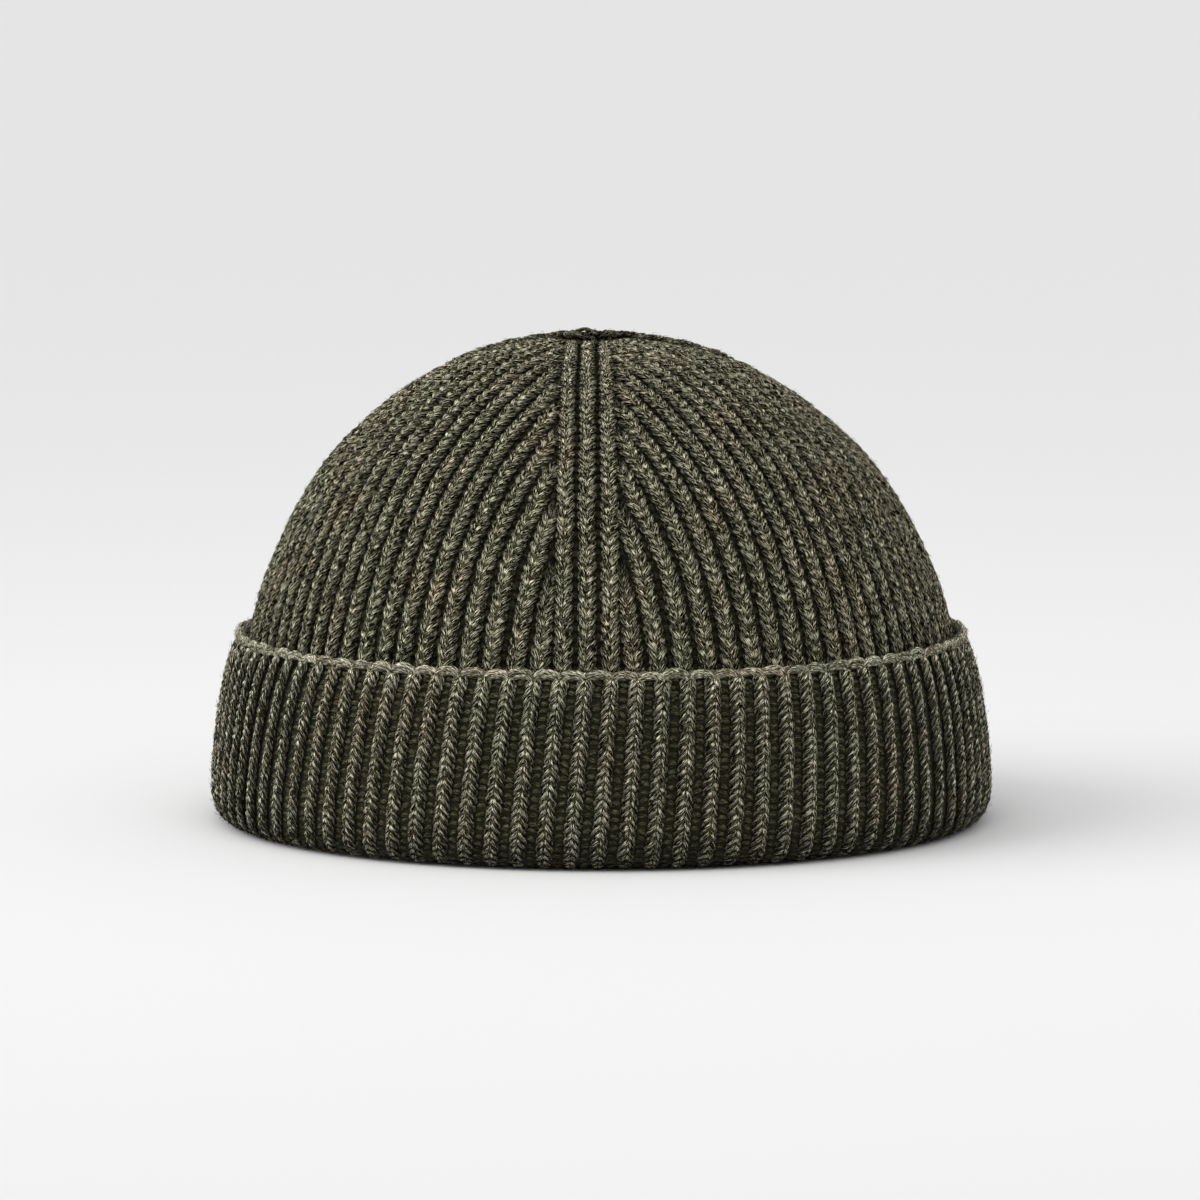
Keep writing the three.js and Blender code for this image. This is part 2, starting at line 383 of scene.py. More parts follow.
@dataclass(frozen=True)
class BackingFinish:
    """The dark backing at the bottom of the furrows and on the inside of the cap, coloured darker
    than the yarn as painted shade.

    Args:
        name: The material's name.
        deep: Its darkest linear colour.
        worn: Linear colour of the fibres on it.
    """

    name: str
    deep: tuple[float, float, float]
    worn: tuple[float, float, float]

    def build(self) -> bpy.types.Material:
        """Makes the material.

        Returns:
            The finished material.
        """
        material = bpy.data.materials.new(self.name)
        nodes = Nodes(material)
        place = nodes.add("TexCoord")
        squeeze = nodes.add("Mapping", vector_type="TEXTURE")
        squeeze.inputs["Scale"].default_value = (1.0, 1.0, 0.45)
        nodes.join(place.outputs["Object"], squeeze.inputs["Vector"])
        mat = nodes.noise(squeeze.outputs["Vector"], 1500.0, 3.0, 0.65)
        colour = nodes.ramp(mat, [(0.40, self.deep), (0.70, self.worn)])
        relief = nodes.add("Bump")
        relief.inputs["Strength"].default_value = 0.7
        relief.inputs["Distance"].default_value = 0.2 * MM
        nodes.join(mat, relief.inputs["Height"])
        shader = nodes.add("BsdfPrincipled")
        shader.inputs["Roughness"].default_value = 0.95
        shader.inputs["Specular IOR Level"].default_value = 0.15
        shader.inputs["Sheen Weight"].default_value = 0.15
        nodes.join(colour, shader.inputs["Base Color"])
        nodes.join(relief.outputs["Normal"], shader.inputs["Normal"])
        output = nodes.add("OutputMaterial")
        nodes.join(shader.outputs["BSDF"], output.inputs["Surface"])
        return material


@dataclass(frozen=True)
class Dyed:
    """The finishes of the whole cap.

    Args:
        crown: Yarn of the crown's stitches.
        cuff: Yarn of the cuff's stitches.
        edge: Yarn of the cast-on edge, paler than the cuff's: partly paler yarn, partly painted
            light from above.
        tie: Yarn of the tie.
        furrow: Darker copy of the yarn as painted shade, for the cross strands, the rib cores and
            the loose fibres in the cuff's furrows.
        fibre: Loose fibres.
        backing: Dark backing behind the stitches, coloured as painted shade.
    """

    crown: bpy.types.Material
    cuff: bpy.types.Material
    edge: bpy.types.Material
    tie: bpy.types.Material
    furrow: bpy.types.Material
    fibre: bpy.types.Material
    backing: bpy.types.Material


@dataclass(frozen=True)
class FloorFinish:
    """A pale matt studio floor.

    Args:
        name: The material's name.
        shade: Linear colour.
    """

    name: str = "pale_floor"
    shade: tuple[float, float, float] = (0.855, 0.855, 0.855)

    def build(self) -> bpy.types.Material:
        """Makes the material.

        Returns:
            The finished material.
        """
        material = bpy.data.materials.new(self.name)
        nodes = Nodes(material)
        shader = nodes.add("BsdfPrincipled")
        shader.inputs["Base Color"].default_value = (*self.shade, 1.0)
        shader.inputs["Roughness"].default_value = 0.85
        shader.inputs["Specular IOR Level"].default_value = 0.1
        output = nodes.add("OutputMaterial")
        nodes.join(shader.outputs["BSDF"], output.inputs["Surface"])
        return material


# Meshes from arrays


@dataclass
class MeshDraft:
    """A mesh made straight from arrays.

    Args:
        name: The object's name.
        points: Vertex places in metres.
        faces: Rows of three or four vertex numbers; a three-sided row ends in -1.
        yarn: Yarn coordinates of each face corner in millimetres.
        tone: Brightness share of each vertex.
        shade: Painted shade and light: how much of its colour each vertex keeps.
        bake: Place of each face corner in the flat bake layout.
    """

    name: str
    points: np.ndarray
    faces: np.ndarray
    yarn: Optional[np.ndarray] = None
    tone: Optional[np.ndarray] = None
    shade: Optional[np.ndarray] = None
    bake: Optional[np.ndarray] = None

    def build(self, material: bpy.types.Material) -> bpy.types.Object:
        """Makes the object.

        Args:
            material: Its finish.

        Returns:
            The object, in the scene.
        """
        three = self.faces[:, 3] < 0
        sides = np.where(three, 3, 4)
        corners = self.faces[np.arange(4)[None, :] < sides[:, None]]
        mesh = bpy.data.meshes.new(self.name)
        mesh.vertices.add(len(self.points))
        mesh.vertices.foreach_set("co", self.points.astype(np.float32).ravel())
        mesh.loops.add(len(corners))
        mesh.loops.foreach_set("vertex_index", corners.astype(np.int32))
        mesh.polygons.add(len(self.faces))
        starts = np.concatenate([[0], np.cumsum(sides)[:-1]])
        mesh.polygons.foreach_set("loop_start", starts.astype(np.int32))
        mesh.polygons.foreach_set("use_smooth", np.ones(len(self.faces), bool))
        for label, coordinates in (("OFBake", self.bake), ("Yarn", self.yarn)):
            if coordinates is not None:
                kept = coordinates[np.arange(4)[None, :] < sides[:, None]]
                layer = mesh.uv_layers.new(name=label)
                layer.uv.foreach_set("vector", kept.astype(np.float32).ravel())
        # The shade attribute holds painted shade and light.
        for label, values in (("tone", self.tone), ("shade", self.shade)):
            if values is not None:
                layer = mesh.attributes.new(label, "FLOAT", "POINT")
                layer.data.foreach_set("value", values.astype(np.float32))
        mesh.update(calc_edges=True)
        mesh.validate()
        mesh.materials.append(material)
        built = bpy.data.objects.new(self.name, mesh)
        bpy.context.scene.collection.objects.link(built)
        return built


YARN_SHIFT = (7.31, 3.17)
BAKE_MARGIN = 0.04


@dataclass
class Strands:
    """Many short pieces of yarn of one topology: pointed tubes along bent middle lines.

    Args:
        middle: Middle lines in millimetres, strands by rings by x, y, z.
        across: The direction at each ring that the tube's first side faces.
        radius: Radius of each ring in millimetres, strands by rings.
        tone: Brightness share of each strand.
        shade: Painted shade and light: how much of its colour each ring keeps, strands by rings.
        sides: Sides of the tube.
        flatness: Thickness of the tube across the fabric as a share of its width.
    """

    middle: np.ndarray
    across: np.ndarray
    radius: np.ndarray
    tone: np.ndarray
    shade: np.ndarray
    sides: int = 6
    flatness: float = 1.0

    def draft(self, name: str, floor: Optional[float] = None) -> MeshDraft:
        """Makes the tubes.

        Args:
            name: Name of the object to be.
            floor: Height in millimetres that no point may pass below.

        Returns:
            The mesh draft. The first and last ring of each strand shrink to its two tips.
        """
        strands, rings = self.radius.shape
        along = unit(np.gradient(self.middle, axis=1))
        side = unit(self.across - along * np.sum(self.across * along, -1, keepdims=True))
        out = np.cross(along, side)
        angle = 2 * math.pi * np.arange(self.sides) / self.sides
        inner = slice(1, rings - 1)
        ring = (side[:, inner, None] * np.cos(angle)[:, None]
                + out[:, inner, None] * np.sin(angle)[:, None] * self.flatness)
        tubes = self.middle[:, inner, None] + ring * self.radius[:, inner, None, None]
        tips = self.middle[:, [0, -1]]
        points = np.concatenate([tubes.reshape(strands, -1, 3), tips], axis=1)
        if floor is not None:
            points[..., 2] = np.maximum(points[..., 2], floor)

        faces, corners = self._pattern(rings - 2)
        count = points.shape[1]
        grid = faces[None] + np.where(faces[None] < 0, 0, np.arange(strands)[:, None, None] * count)
        length = np.linalg.norm(np.diff(self.middle, axis=1), axis=2).sum(1)
        girth = 2 * math.pi * self.radius.max(1)
        size = np.stack([length, girth], 1)[:, None, None]
        shift = np.outer(np.arange(strands), YARN_SHIFT)
        yarn = corners[None] * size + shift[:, None, None]
        # Painted shade and light per vertex, repeated round each ring.
        shade = np.concatenate([np.repeat(self.shade[:, inner], self.sides, axis=1),
                                self.shade[:, [0, -1]]], axis=1)
        return MeshDraft(
            name, points.reshape(-1, 3) * MM, grid.reshape(-1, 4), yarn.reshape(-1, 4, 2),
            np.repeat(self.tone, count), shade.ravel(), self._cells(corners, strands))

    def _pattern(self, rings: int) -> tuple[np.ndarray, np.ndarray]:
        """Faces of one strand and where their corners lie on it.

        Args:
            rings: Rings between the two tips.

        Returns:
            Faces, and corners as shares along and around the strand.
        """
        sides = self.sides
        faces, corners = [], []
        for k in range(rings - 1):
            low, high = (k + 1) / (rings + 1), (k + 2) / (rings + 1)
            for j in range(sides):
                n = (j + 1) % sides
                here, above = k * sides, (k + 1) * sides
                faces.append([here + j, here + n, above + n, above + j])
                corners.append([[low, j / sides], [low, (j + 1) / sides],
                                [high, (j + 1) / sides], [high, j / sides]])
        first, last = rings * sides, rings * sides + 1
        step = 1 / (rings + 1)
        for j in range(sides):
            n = (j + 1) % sides
            middle = (j + 0.5) / sides
            faces.append([j, first, n, -1])
            corners.append([[step, j / sides], [0.0, middle], [step, (j + 1) / sides], [0.0, 0.0]])
            end = (rings - 1) * sides
            faces.append([end + j, end + n, last, -1])
            corners.append([[1 - step, j / sides], [1 - step, (j + 1) / sides],
                            [1.0, middle], [0.0, 0.0]])
        return np.array(faces), np.array(corners)

    def _cells(self, corners: np.ndarray, strands: int) -> np.ndarray:
        """Lays every strand in a cell of its own on a square sheet.

        Args:
            corners: Corner places of one strand as shares.
            strands: How many strands there are.

        Returns:
            Corner places of all faces on the sheet.
        """
        columns = math.ceil(math.sqrt(strands))
        number = np.arange(strands)
        corner = np.stack([number % columns, number // columns], 1) / columns
        inside = BAKE_MARGIN + corners * (1 - 2 * BAKE_MARGIN)
        return (corner[:, None, None] + inside[None] / columns).reshape(-1, 4, 2)


# The knit


@dataclass
class Stitches:
    """Places of stitches on the knit: where each sits and how it is turned.

    Args:
        place: Point over the rib in millimetres.
        up: Direction of knitting along the rib.
        out: Direction away from the fabric.
        width: Width of the rib there as a share of the full one.
        sink: How far the stitch is drawn in, in millimetres.
        pitch: Length of the stitch in millimetres.
        shade: Painted shade and light: how much of its colour the stitch keeps.
    """

    place: np.ndarray
    up: np.ndarray
    out: np.ndarray
    width: np.ndarray
    sink: np.ndarray
    pitch: np.ndarray
    shade: np.ndarray

    def pick(self, chosen: np.ndarray) -> "Stitches":
        """Keeps the chosen stitches.

        Args:
            chosen: A mask or list of numbers.

        Returns:
            Those stitches.
        """
        return Stitches(self.place[chosen], self.up[chosen], self.out[chosen], self.width[chosen],
                        self.sink[chosen], self.pitch[chosen], self.shade[chosen])

    @staticmethod
    def gather(groups: list["Stitches"]) -> "Stitches":
        """Joins groups of stitches.

        Args:
            groups: The groups.

        Returns:
            All of them as one group.
        """
        names = ("place", "up", "out", "width", "sink", "pitch", "shade")
        return Stitches(*(np.concatenate([getattr(g, n) for g in groups]) for n in names))

    def half(self, region: Region) -> "Stitches":
        """Keeps the stitches on the front or the back.

        Args:
            region: Which half.

        Returns:
            The stitches of that half.
        """
        ahead = self.place[:, 1] < 0
        return self.pick(ahead if region is Region.FRONT else ~ahead)


@dataclass(frozen=True)
class StitchShape:
    """The shape of a knit stitch's two legs.

    Args:
        course: Length of one stitch along the rib in millimetres.
        foot: Distance of a leg's foot from the rib's middle line.
        head: Distance of its head from that line.
        yarn: Radius of the yarn.
        overlap: Length of a leg as a share of the course.
        drop: How far a leg's head falls back into the furrow.
        tuck: How far both ends are drawn in behind their neighbours.
        slope: How late a leg falls back; 1 falls back evenly, 2 towards its head.
        dim: Painted shade: how much colour a leg loses for each millimetre that it falls back,
            more so where ribs are narrow.
        flatness: Thickness of a leg as a share of its width.
        sides: Sides of a leg's tube.
        spread_rate: How soon a leg has moved out to its head's distance; 1 is at the very end.
        spread_lag: How late it starts to move out.
        foot_below: Share of the leg that lies below its stitch's place.
        steepen: How much longer legs are where ribs are narrow, as a power of the width.
        tuck_middle: Twice the share of the leg at which it is tucked least.
        tuck_power: How sharply both ends are tucked.
        tip: Radius at the ends as a share of the full one.
        taper: How much sooner the head tapers than the foot.
        fullness: How full the leg stays towards its ends; lower is fuller.
        uneven: Spread of the differences between legs.
        uneven_aside: Spread of their sideways places.
        tone_spread: Spread of their tones.
    """

    course: float
    foot: float
    head: float
    yarn: float
    overlap: float
    drop: float
    tuck: float
    slope: float = 2.0
    dim: float = 0.35
    flatness: float = 0.85
    sides: int = 6
    spread_rate: float = 1.42
    spread_lag: float = 0.06
    foot_below: float = 0.12
    steepen: float = 0.8
    tuck_middle: float = 0.9
    tuck_power: float = 2.2
    tip: float = 0.62
    taper: float = 1.05
    fullness: float = 0.8
    uneven: float = 0.05
    uneven_aside: float = 0.04
    tone_spread: float = 0.32

    def legs(self, stitches: Stitches, random: np.random.Generator, rings: int = 6) -> Strands:
        """Lays both legs of every stitch.

        Args:
            stitches: Where the stitches are.
            random: Source of the small unevenness of hand and yarn.
            rings: Points along a leg, its tips among them.

        Returns:
            The legs.
        """
        count = len(stitches.place)
        share = np.linspace(0.0, 1.0, rings)
        spread = smooth_step(share * self.spread_rate - self.spread_lag)
        ends = np.abs(2 * share - self.tuck_middle) ** self.tuck_power
        bulk = np.sin(math.pi * np.clip(share * self.taper, 0, 1)) ** self.fullness
        profile = self.tip + (1 - self.tip) * bulk
        slim = stitches.width[:, None]
        course = stitches.pitch[:, None]
        sideways = np.cross(stitches.up, stitches.out)
        strands, facing, radii, shades = [], [], [], []
        for hand in (-1.0, 1.0):
            size = 1.0 + random.normal(0.0, self.uneven, (count, 1))
            climb = (share - self.foot_below) * self.overlap * course / slim ** self.steepen
            climb = climb + random.normal(0.0, self.uneven, (count, 1))
            away = self.foot + (self.head - self.foot) * spread
            away = away * slim * size + random.normal(0.0, self.uneven_aside, (count, 1))
            fall = self.drop * spread ** self.slope * slim + stitches.sink[:, None]
            depth = self.yarn + self.tuck * ends + fall
            depth = depth + random.normal(0.0, self.uneven, (count, 1))
            line = (stitches.place[:, None]
                    + stitches.up[:, None] * climb[..., None]
                    + sideways[:, None] * (hand * away)[..., None]
                    - stitches.out[:, None] * depth[..., None])
            strands.append(line)
            facing.append(np.broadcast_to(sideways[:, None] * hand, line.shape))
            radii.append(self.yarn * size * np.sqrt(slim) * profile)
            # Painted shade: legs darken as they fall back into the furrow.
            shades.append(stitches.shade[:, None] * np.exp(-self.dim * fall / slim ** 2))
        tone = random.normal(0.0, self.tone_spread, 2 * count)
        return Strands(np.concatenate(strands), np.concatenate(facing), np.concatenate(radii),
                       tone, np.concatenate(shades), sides=self.sides, flatness=self.flatness)


@dataclass(frozen=True)
class PurlShape:
    """The shape of the small cross strands at the bottom of a furrow.

    Args:
        reach: Half the strand's length across the furrow in millimetres.
        depth: How far below the ribs it lies.
        bow: How far its middle bows along the furrow.
        arch: How far its middle stands out above its ends.
        yarn: Radius of the yarn.
        flatness: Thickness of the strand as a share of its width.
        taper: How much thinner its ends are, as a share.
        uneven: Spread of the strands' depths and thicknesses.
        uneven_place: Spread of their places along the furrow.
        uneven_turn: Spread of their turns.
        tone_spread: Spread of their tones.
    """

    reach: float
    depth: float
    bow: float
    arch: float
    yarn: float
    flatness: float = 0.7
    taper: float = 0.25
    uneven: float = 0.08
    uneven_place: float = 0.2
    uneven_turn: float = 0.3
    tone_spread: float = 0.3

    def bars(self, stitches: Stitches, random: np.random.Generator, rings: int = 4) -> Strands:
        """Lays a cross strand at each stitch of a furrow.

        Args:
            stitches: Places along the furrows.
            random: Source of small unevenness.
            rings: Points along a strand, its tips among them.

        Returns:
            The cross strands.
        """
        count = len(stitches.place)
        share = np.linspace(-1.0, 1.0, rings)
        sideways = np.cross(stitches.up, stitches.out)
        across = share * self.reach * stitches.width[:, None]
        along = self.bow * (1 - share ** 2) + random.normal(0.0, self.uneven_place, (count, 1))
        along = along + random.normal(0.0, self.uneven_turn, (count, 1)) * share
        depth = (self.depth + self.arch * share ** 2 + stitches.sink[:, None]
                 + random.normal(0.0, self.uneven, (count, 1)))
        line = (stitches.place[:, None] + sideways[:, None] * across[..., None]
                + stitches.up[:, None] * along[..., None]
                - stitches.out[:, None] * depth[..., None])
        size = 1 + random.normal(0.0, self.uneven, (count, 1))
        radius = self.yarn * (1 - self.taper * share ** 2) * size
        facing = np.broadcast_to(stitches.up[:, None], line.shape)
        tone = random.normal(0.0, self.tone_spread, count)
        # The cross strands carry the stitches' painted shade.
        shade = np.broadcast_to(stitches.shade[:, None], radius.shape)
        return Strands(line, facing, radius, tone, shade, sides=4, flatness=self.flatness)


@dataclass(frozen=True)
class CoreShape:
    """The soft filling under a rib, which closes the small holes between its stitches.

    Args:
        depth: How far below the rib's crest its middle lies in millimetres.
        width: Half its width.
        thickness: Half its thickness.
        fewest: Stitches that a rib needs to be filled.
    """

    depth: float
    width: float
    thickness: float
    fewest: int = 3

    def fill(self, ribs: list[Stitches], rings: int = 22) -> Strands:
        """Runs one flat tube along each rib.

        Args:
            ribs: The stitches of each rib, in order along it.
            rings: Points along a tube.

        Returns:
            The tubes.
        """
        lines, across, radii, shades = [], [], [], []
        for rib in ribs:
            if len(rib.place) < self.fewest:
                continue
            marks = np.linspace(0, len(rib.place) - 1, rings)
            number = np.arange(len(rib.place))

            def read(values: np.ndarray) -> np.ndarray:
                """Reads a column of values along the rib."""
                return np.stack([np.interp(marks, number, values[:, i]) for i in range(3)], 1)

            out = unit(read(rib.out))
            sink = np.interp(marks, number, rib.sink)
            lines.append(read(rib.place) - out * (self.depth + sink)[:, None])
            across.append(np.cross(read(rib.up), out))
            radii.append(self.width * np.interp(marks, number, rib.width))
            # The core carries its rib's painted shade and light.
            shades.append(np.interp(marks, number, rib.shade))
        return Strands(np.array(lines), np.array(across), np.array(radii), np.zeros(len(lines)),
                       np.array(shades), flatness=self.thickness / self.width)


@dataclass(frozen=True)
class Fuzz:
    """Loose fibres that lie along the yarn and lift off it.

    Args:
        share: Fibres for each strand of yarn.
        shortest: Shortest fibre in millimetres.
        longest: Longest fibre in millimetres.
        radius: Radius of a fibre.
        stray: How far fibres turn away from the yarn's run, as a share of their length.
        lift: How far they lift off it, as a share of their length.
        side_radius: Radius in millimetres at which the sideways part of the way out is 1.
        upward: The upward part of the way out.
        around: Farthest angle round the strand from its outermost line.
        rooted: Where a fibre starts, as a share of the strand's radius.
        curl: Mean and spread of a fibre's bend off the yarn, as a share of its length.
        curl_aside: Spread of its bend to the side.
        thickness: Thinnest and thickest fibre as a share of the radius.
    """

    share: float
    shortest: float = 0.8
    longest: float = 2.0
    radius: float = 0.042
    stray: float = 0.35
    lift: float = 0.13
    side_radius: float = 60.0
    upward: float = 0.35
    around: float = 1.2
    rooted: float = 0.95
    curl: tuple[float, float] = (0.05, 0.06)
    curl_aside: float = 0.10
    thickness: tuple[float, float] = (0.7, 1.3)

    def hairs(self, strands: Strands, random: np.random.Generator) -> Strands:
        """Sets fibres on the outward half of the strands.

        Args:
            strands: The yarn that they lie on.
            random: Source of their places.

        Returns:
            The fibres.
        """
        middle, radius = strands.middle, strands.radius
        count = int(self.share * len(middle))
        which = random.integers(0, len(middle), count)
        ring = random.integers(1, middle.shape[1] - 1, count)
        base = middle[which, ring]
        run = unit(middle[which, ring + 1] - middle[which, ring - 1])
        side = strands.across[which, ring]
        side = unit(side - run * np.sum(side * run, 1, keepdims=True))
        out = np.cross(run, side)
        sideways = base * np.array([1.0, 1.0, 0.0]) / self.side_radius
        outward = sideways + np.array([0.0, 0.0, self.upward])
        out = out * np.sign(np.sum(out * outward, 1, keepdims=True))
        turn = random.uniform(-self.around, self.around, (count, 1))
        skin = out * np.cos(turn) + side * np.sin(turn)
        root = base + skin * radius[which, ring][:, None] * strands.flatness * self.rooted
        length = random.uniform(self.shortest, self.longest, (count, 1))
        way = unit(run * random.choice([-1.0, 1.0], (count, 1))
                   + np.cross(run, skin) * random.normal(0.0, self.stray, (count, 1))
                   + skin * np.abs(random.normal(0.0, self.lift, (count, 1))))
        bend = (skin * random.normal(*self.curl, (count, 1))
                + np.cross(run, skin) * random.normal(0.0, self.curl_aside, (count, 1))) * length
        line = np.stack([root, root + way * length / 2 + bend, root + way * length], 1)
        thick = np.repeat(self.radius * random.uniform(*self.thickness, (count, 1)), 3, axis=1)
        # Each fibre takes the painted shade and light of the yarn under it.
        shade = np.repeat(strands.shade[which, ring][:, None], 3, axis=1)
        return Strands(line, np.broadcast_to(skin[:, None], line.shape), thick,
                       random.normal(0.0, 1.0, count), shade, sides=3)


@dataclass(frozen=True)
class SoftTop:
    """The sunken top: a soft crease across it, darkened with painted shade, and a far rim that
    stands up behind.

    Args:
        place: How far behind the top the crease lies in millimetres.
        middle: Sideways place of the crease's middle.
        reach: How far the crease runs to either side.
        width: Half the width of the crease.
        depth: How deep it is.
        rim_rise: How far the far rim stands up.
        rim_run: Distance behind the crease over which it rises.
        rim_reach: How far it runs to either side.
        zone: Height below the top at which the dome starts to be soft.
        zone_run: Height over which it becomes so.
        dimming: Painted shade: share of its colour that the yarn loses in the crease.
    """

    place: float = 5.6
    middle: float = 3.0
    reach: float = 34.0
    width: float = 2.6
    depth: float = 2.3
    rim_rise: float = 1.3
    rim_run: float = 5.0
    rim_reach: float = 40.8
    zone: float = 12.0
    zone_run: float = 8.0
    dimming: float = 0.85

    def crease(self, points: np.ndarray, top: float) -> np.ndarray:
        """Reads the crease.

        Args:
            points: Places on the dome in millimetres.
            top: Height of the dome's top.

        Returns:
            How deep the crease is at each, as a share of its depth.
        """
        along = hump(points[:, 0], self.middle, self.reach)
        across = hump(points[:, 1], self.place, self.width)
        return along * across * smooth_step(points[:, 2], top - self.zone, self.zone_run)

    def sag(self, points: np.ndarray, top: float) -> np.ndarray:
        """Reads how the top sinks in the crease and stands up behind it.

        Args:
            points: Places on the dome in millimetres.
            top: Height of the dome's top.

        Returns:
            The change of height at each in millimetres.
        """
        rim = (smooth_step(points[:, 1], self.place, self.rim_run)
               * hump(points[:, 0], self.middle, self.rim_reach)
               * smooth_step(points[:, 2], top - self.zone, self.zone_run))
        return self.rim_rise * rim - self.depth * self.crease(points, top)

    def shade(self, points: np.ndarray, top: float) -> np.ndarray:
        """Reads the painted shade in the crease: how much of its colour the yarn keeps at each
        place.
        """
        return 1 - self.dimming * np.sqrt(self.crease(points, top))


@dataclass(frozen=True)
class Apex:
    """How the crown's furrows fill up towards the drawn-up top, and the painted shade in them and
    at the top.

    Args:
        fill: How much the furrows fill up in millimetres.
        fill_radius: Radius within which they are full.
        fill_run: Distance over which they fill up.
        furrow_shade: Painted shade: how much of its colour the yarn keeps down in a furrow.
        filled_shade: How much more it keeps where the furrow is full.
        pit_shade: Painted shade: how much of its colour all yarn keeps right at the top.
        pit_radius: Radius within which it does.
        pit_run: Distance over which it brightens.
    """

    fill: float = 1.5
    fill_radius: float = 8.0
    fill_run: float = 6.0
    furrow_shade: float = 0.33
    filled_shade: float = 0.3
    pit_shade: float = 0.4
    pit_radius: float = 5.0
    pit_run: float = 3.5

    def filling(self, radius: np.ndarray) -> np.ndarray:
        """Reads how full the furrows are at each radius, as a share."""
        return 1 - smooth_step(radius, self.fill_radius, self.fill_run)

    def shade(self, radius: np.ndarray, furrow: bool) -> np.ndarray:
        """Reads the painted shade towards the top and down in the furrows.

        Args:
            radius: Radii of the places.
            furrow: Whether they lie in a furrow.

        Returns:
            How much of its colour the yarn keeps at each.
        """
        open_air = smooth_step(radius, self.pit_radius, self.pit_run)
        shade = self.pit_shade + (1 - self.pit_shade) * open_air
        if furrow:
            shade = shade * (self.furrow_shade + self.filled_shade * self.filling(radius))
        return shade


@dataclass(frozen=True)
class RibEnd:
    """How a wedge's rib runs out against a column.

    Room is the number of rib steps that the wedge still has beyond the rib.

    Args:
        cut: Room at which the rib stops.
        fewest: Points along the outline that a rib needs to be laid.
        draw: Steps by which it is drawn towards the column above another rib's end.
        draw_room: Room at which it is drawn most.
        draw_run: Room over which the draw fades.
        lead: Room added to make the rib's width as a share.
        narrowest: Least width.
        swell: How much the rib widens where its neighbour has ended.
        swell_room: Room at which it is widest.
        swell_run: Room over which it widens.
        sink: How far the end is drawn in, in millimetres.
        sink_room: Room at which it is drawn in fully.
        sink_run: Room over which it is drawn in.
    """

    cut: float = 0.42
    fewest: int = 6
    draw: float = 0.12
    draw_room: float = 1.5
    draw_run: float = 0.5
    lead: float = 0.15
    narrowest: float = 0.55
    swell: float = 0.12
    swell_room: float = 1.45
    swell_run: float = 0.3
    sink: float = 0.6
    sink_room: float = 0.4
    sink_run: float = 0.5

    def drawn(self, room: np.ndarray) -> np.ndarray:
        """Reads the room that is left once the rib is drawn aside."""
        return room - self.draw * hump(room, self.draw_room, self.draw_run)

    def width(self, room: np.ndarray) -> np.ndarray:
        """Reads the rib's width as a share of the full one."""
        swell = self.swell * hump(room, self.swell_room, self.swell_run)
        return np.clip(room + self.lead, self.narrowest, 1.0) + swell

    def sunk(self, room: np.ndarray) -> np.ndarray:
        """Reads how far the rib is drawn in, in millimetres."""
        return self.sink * (1 - smooth_step(room, self.sink_room, self.sink_run))


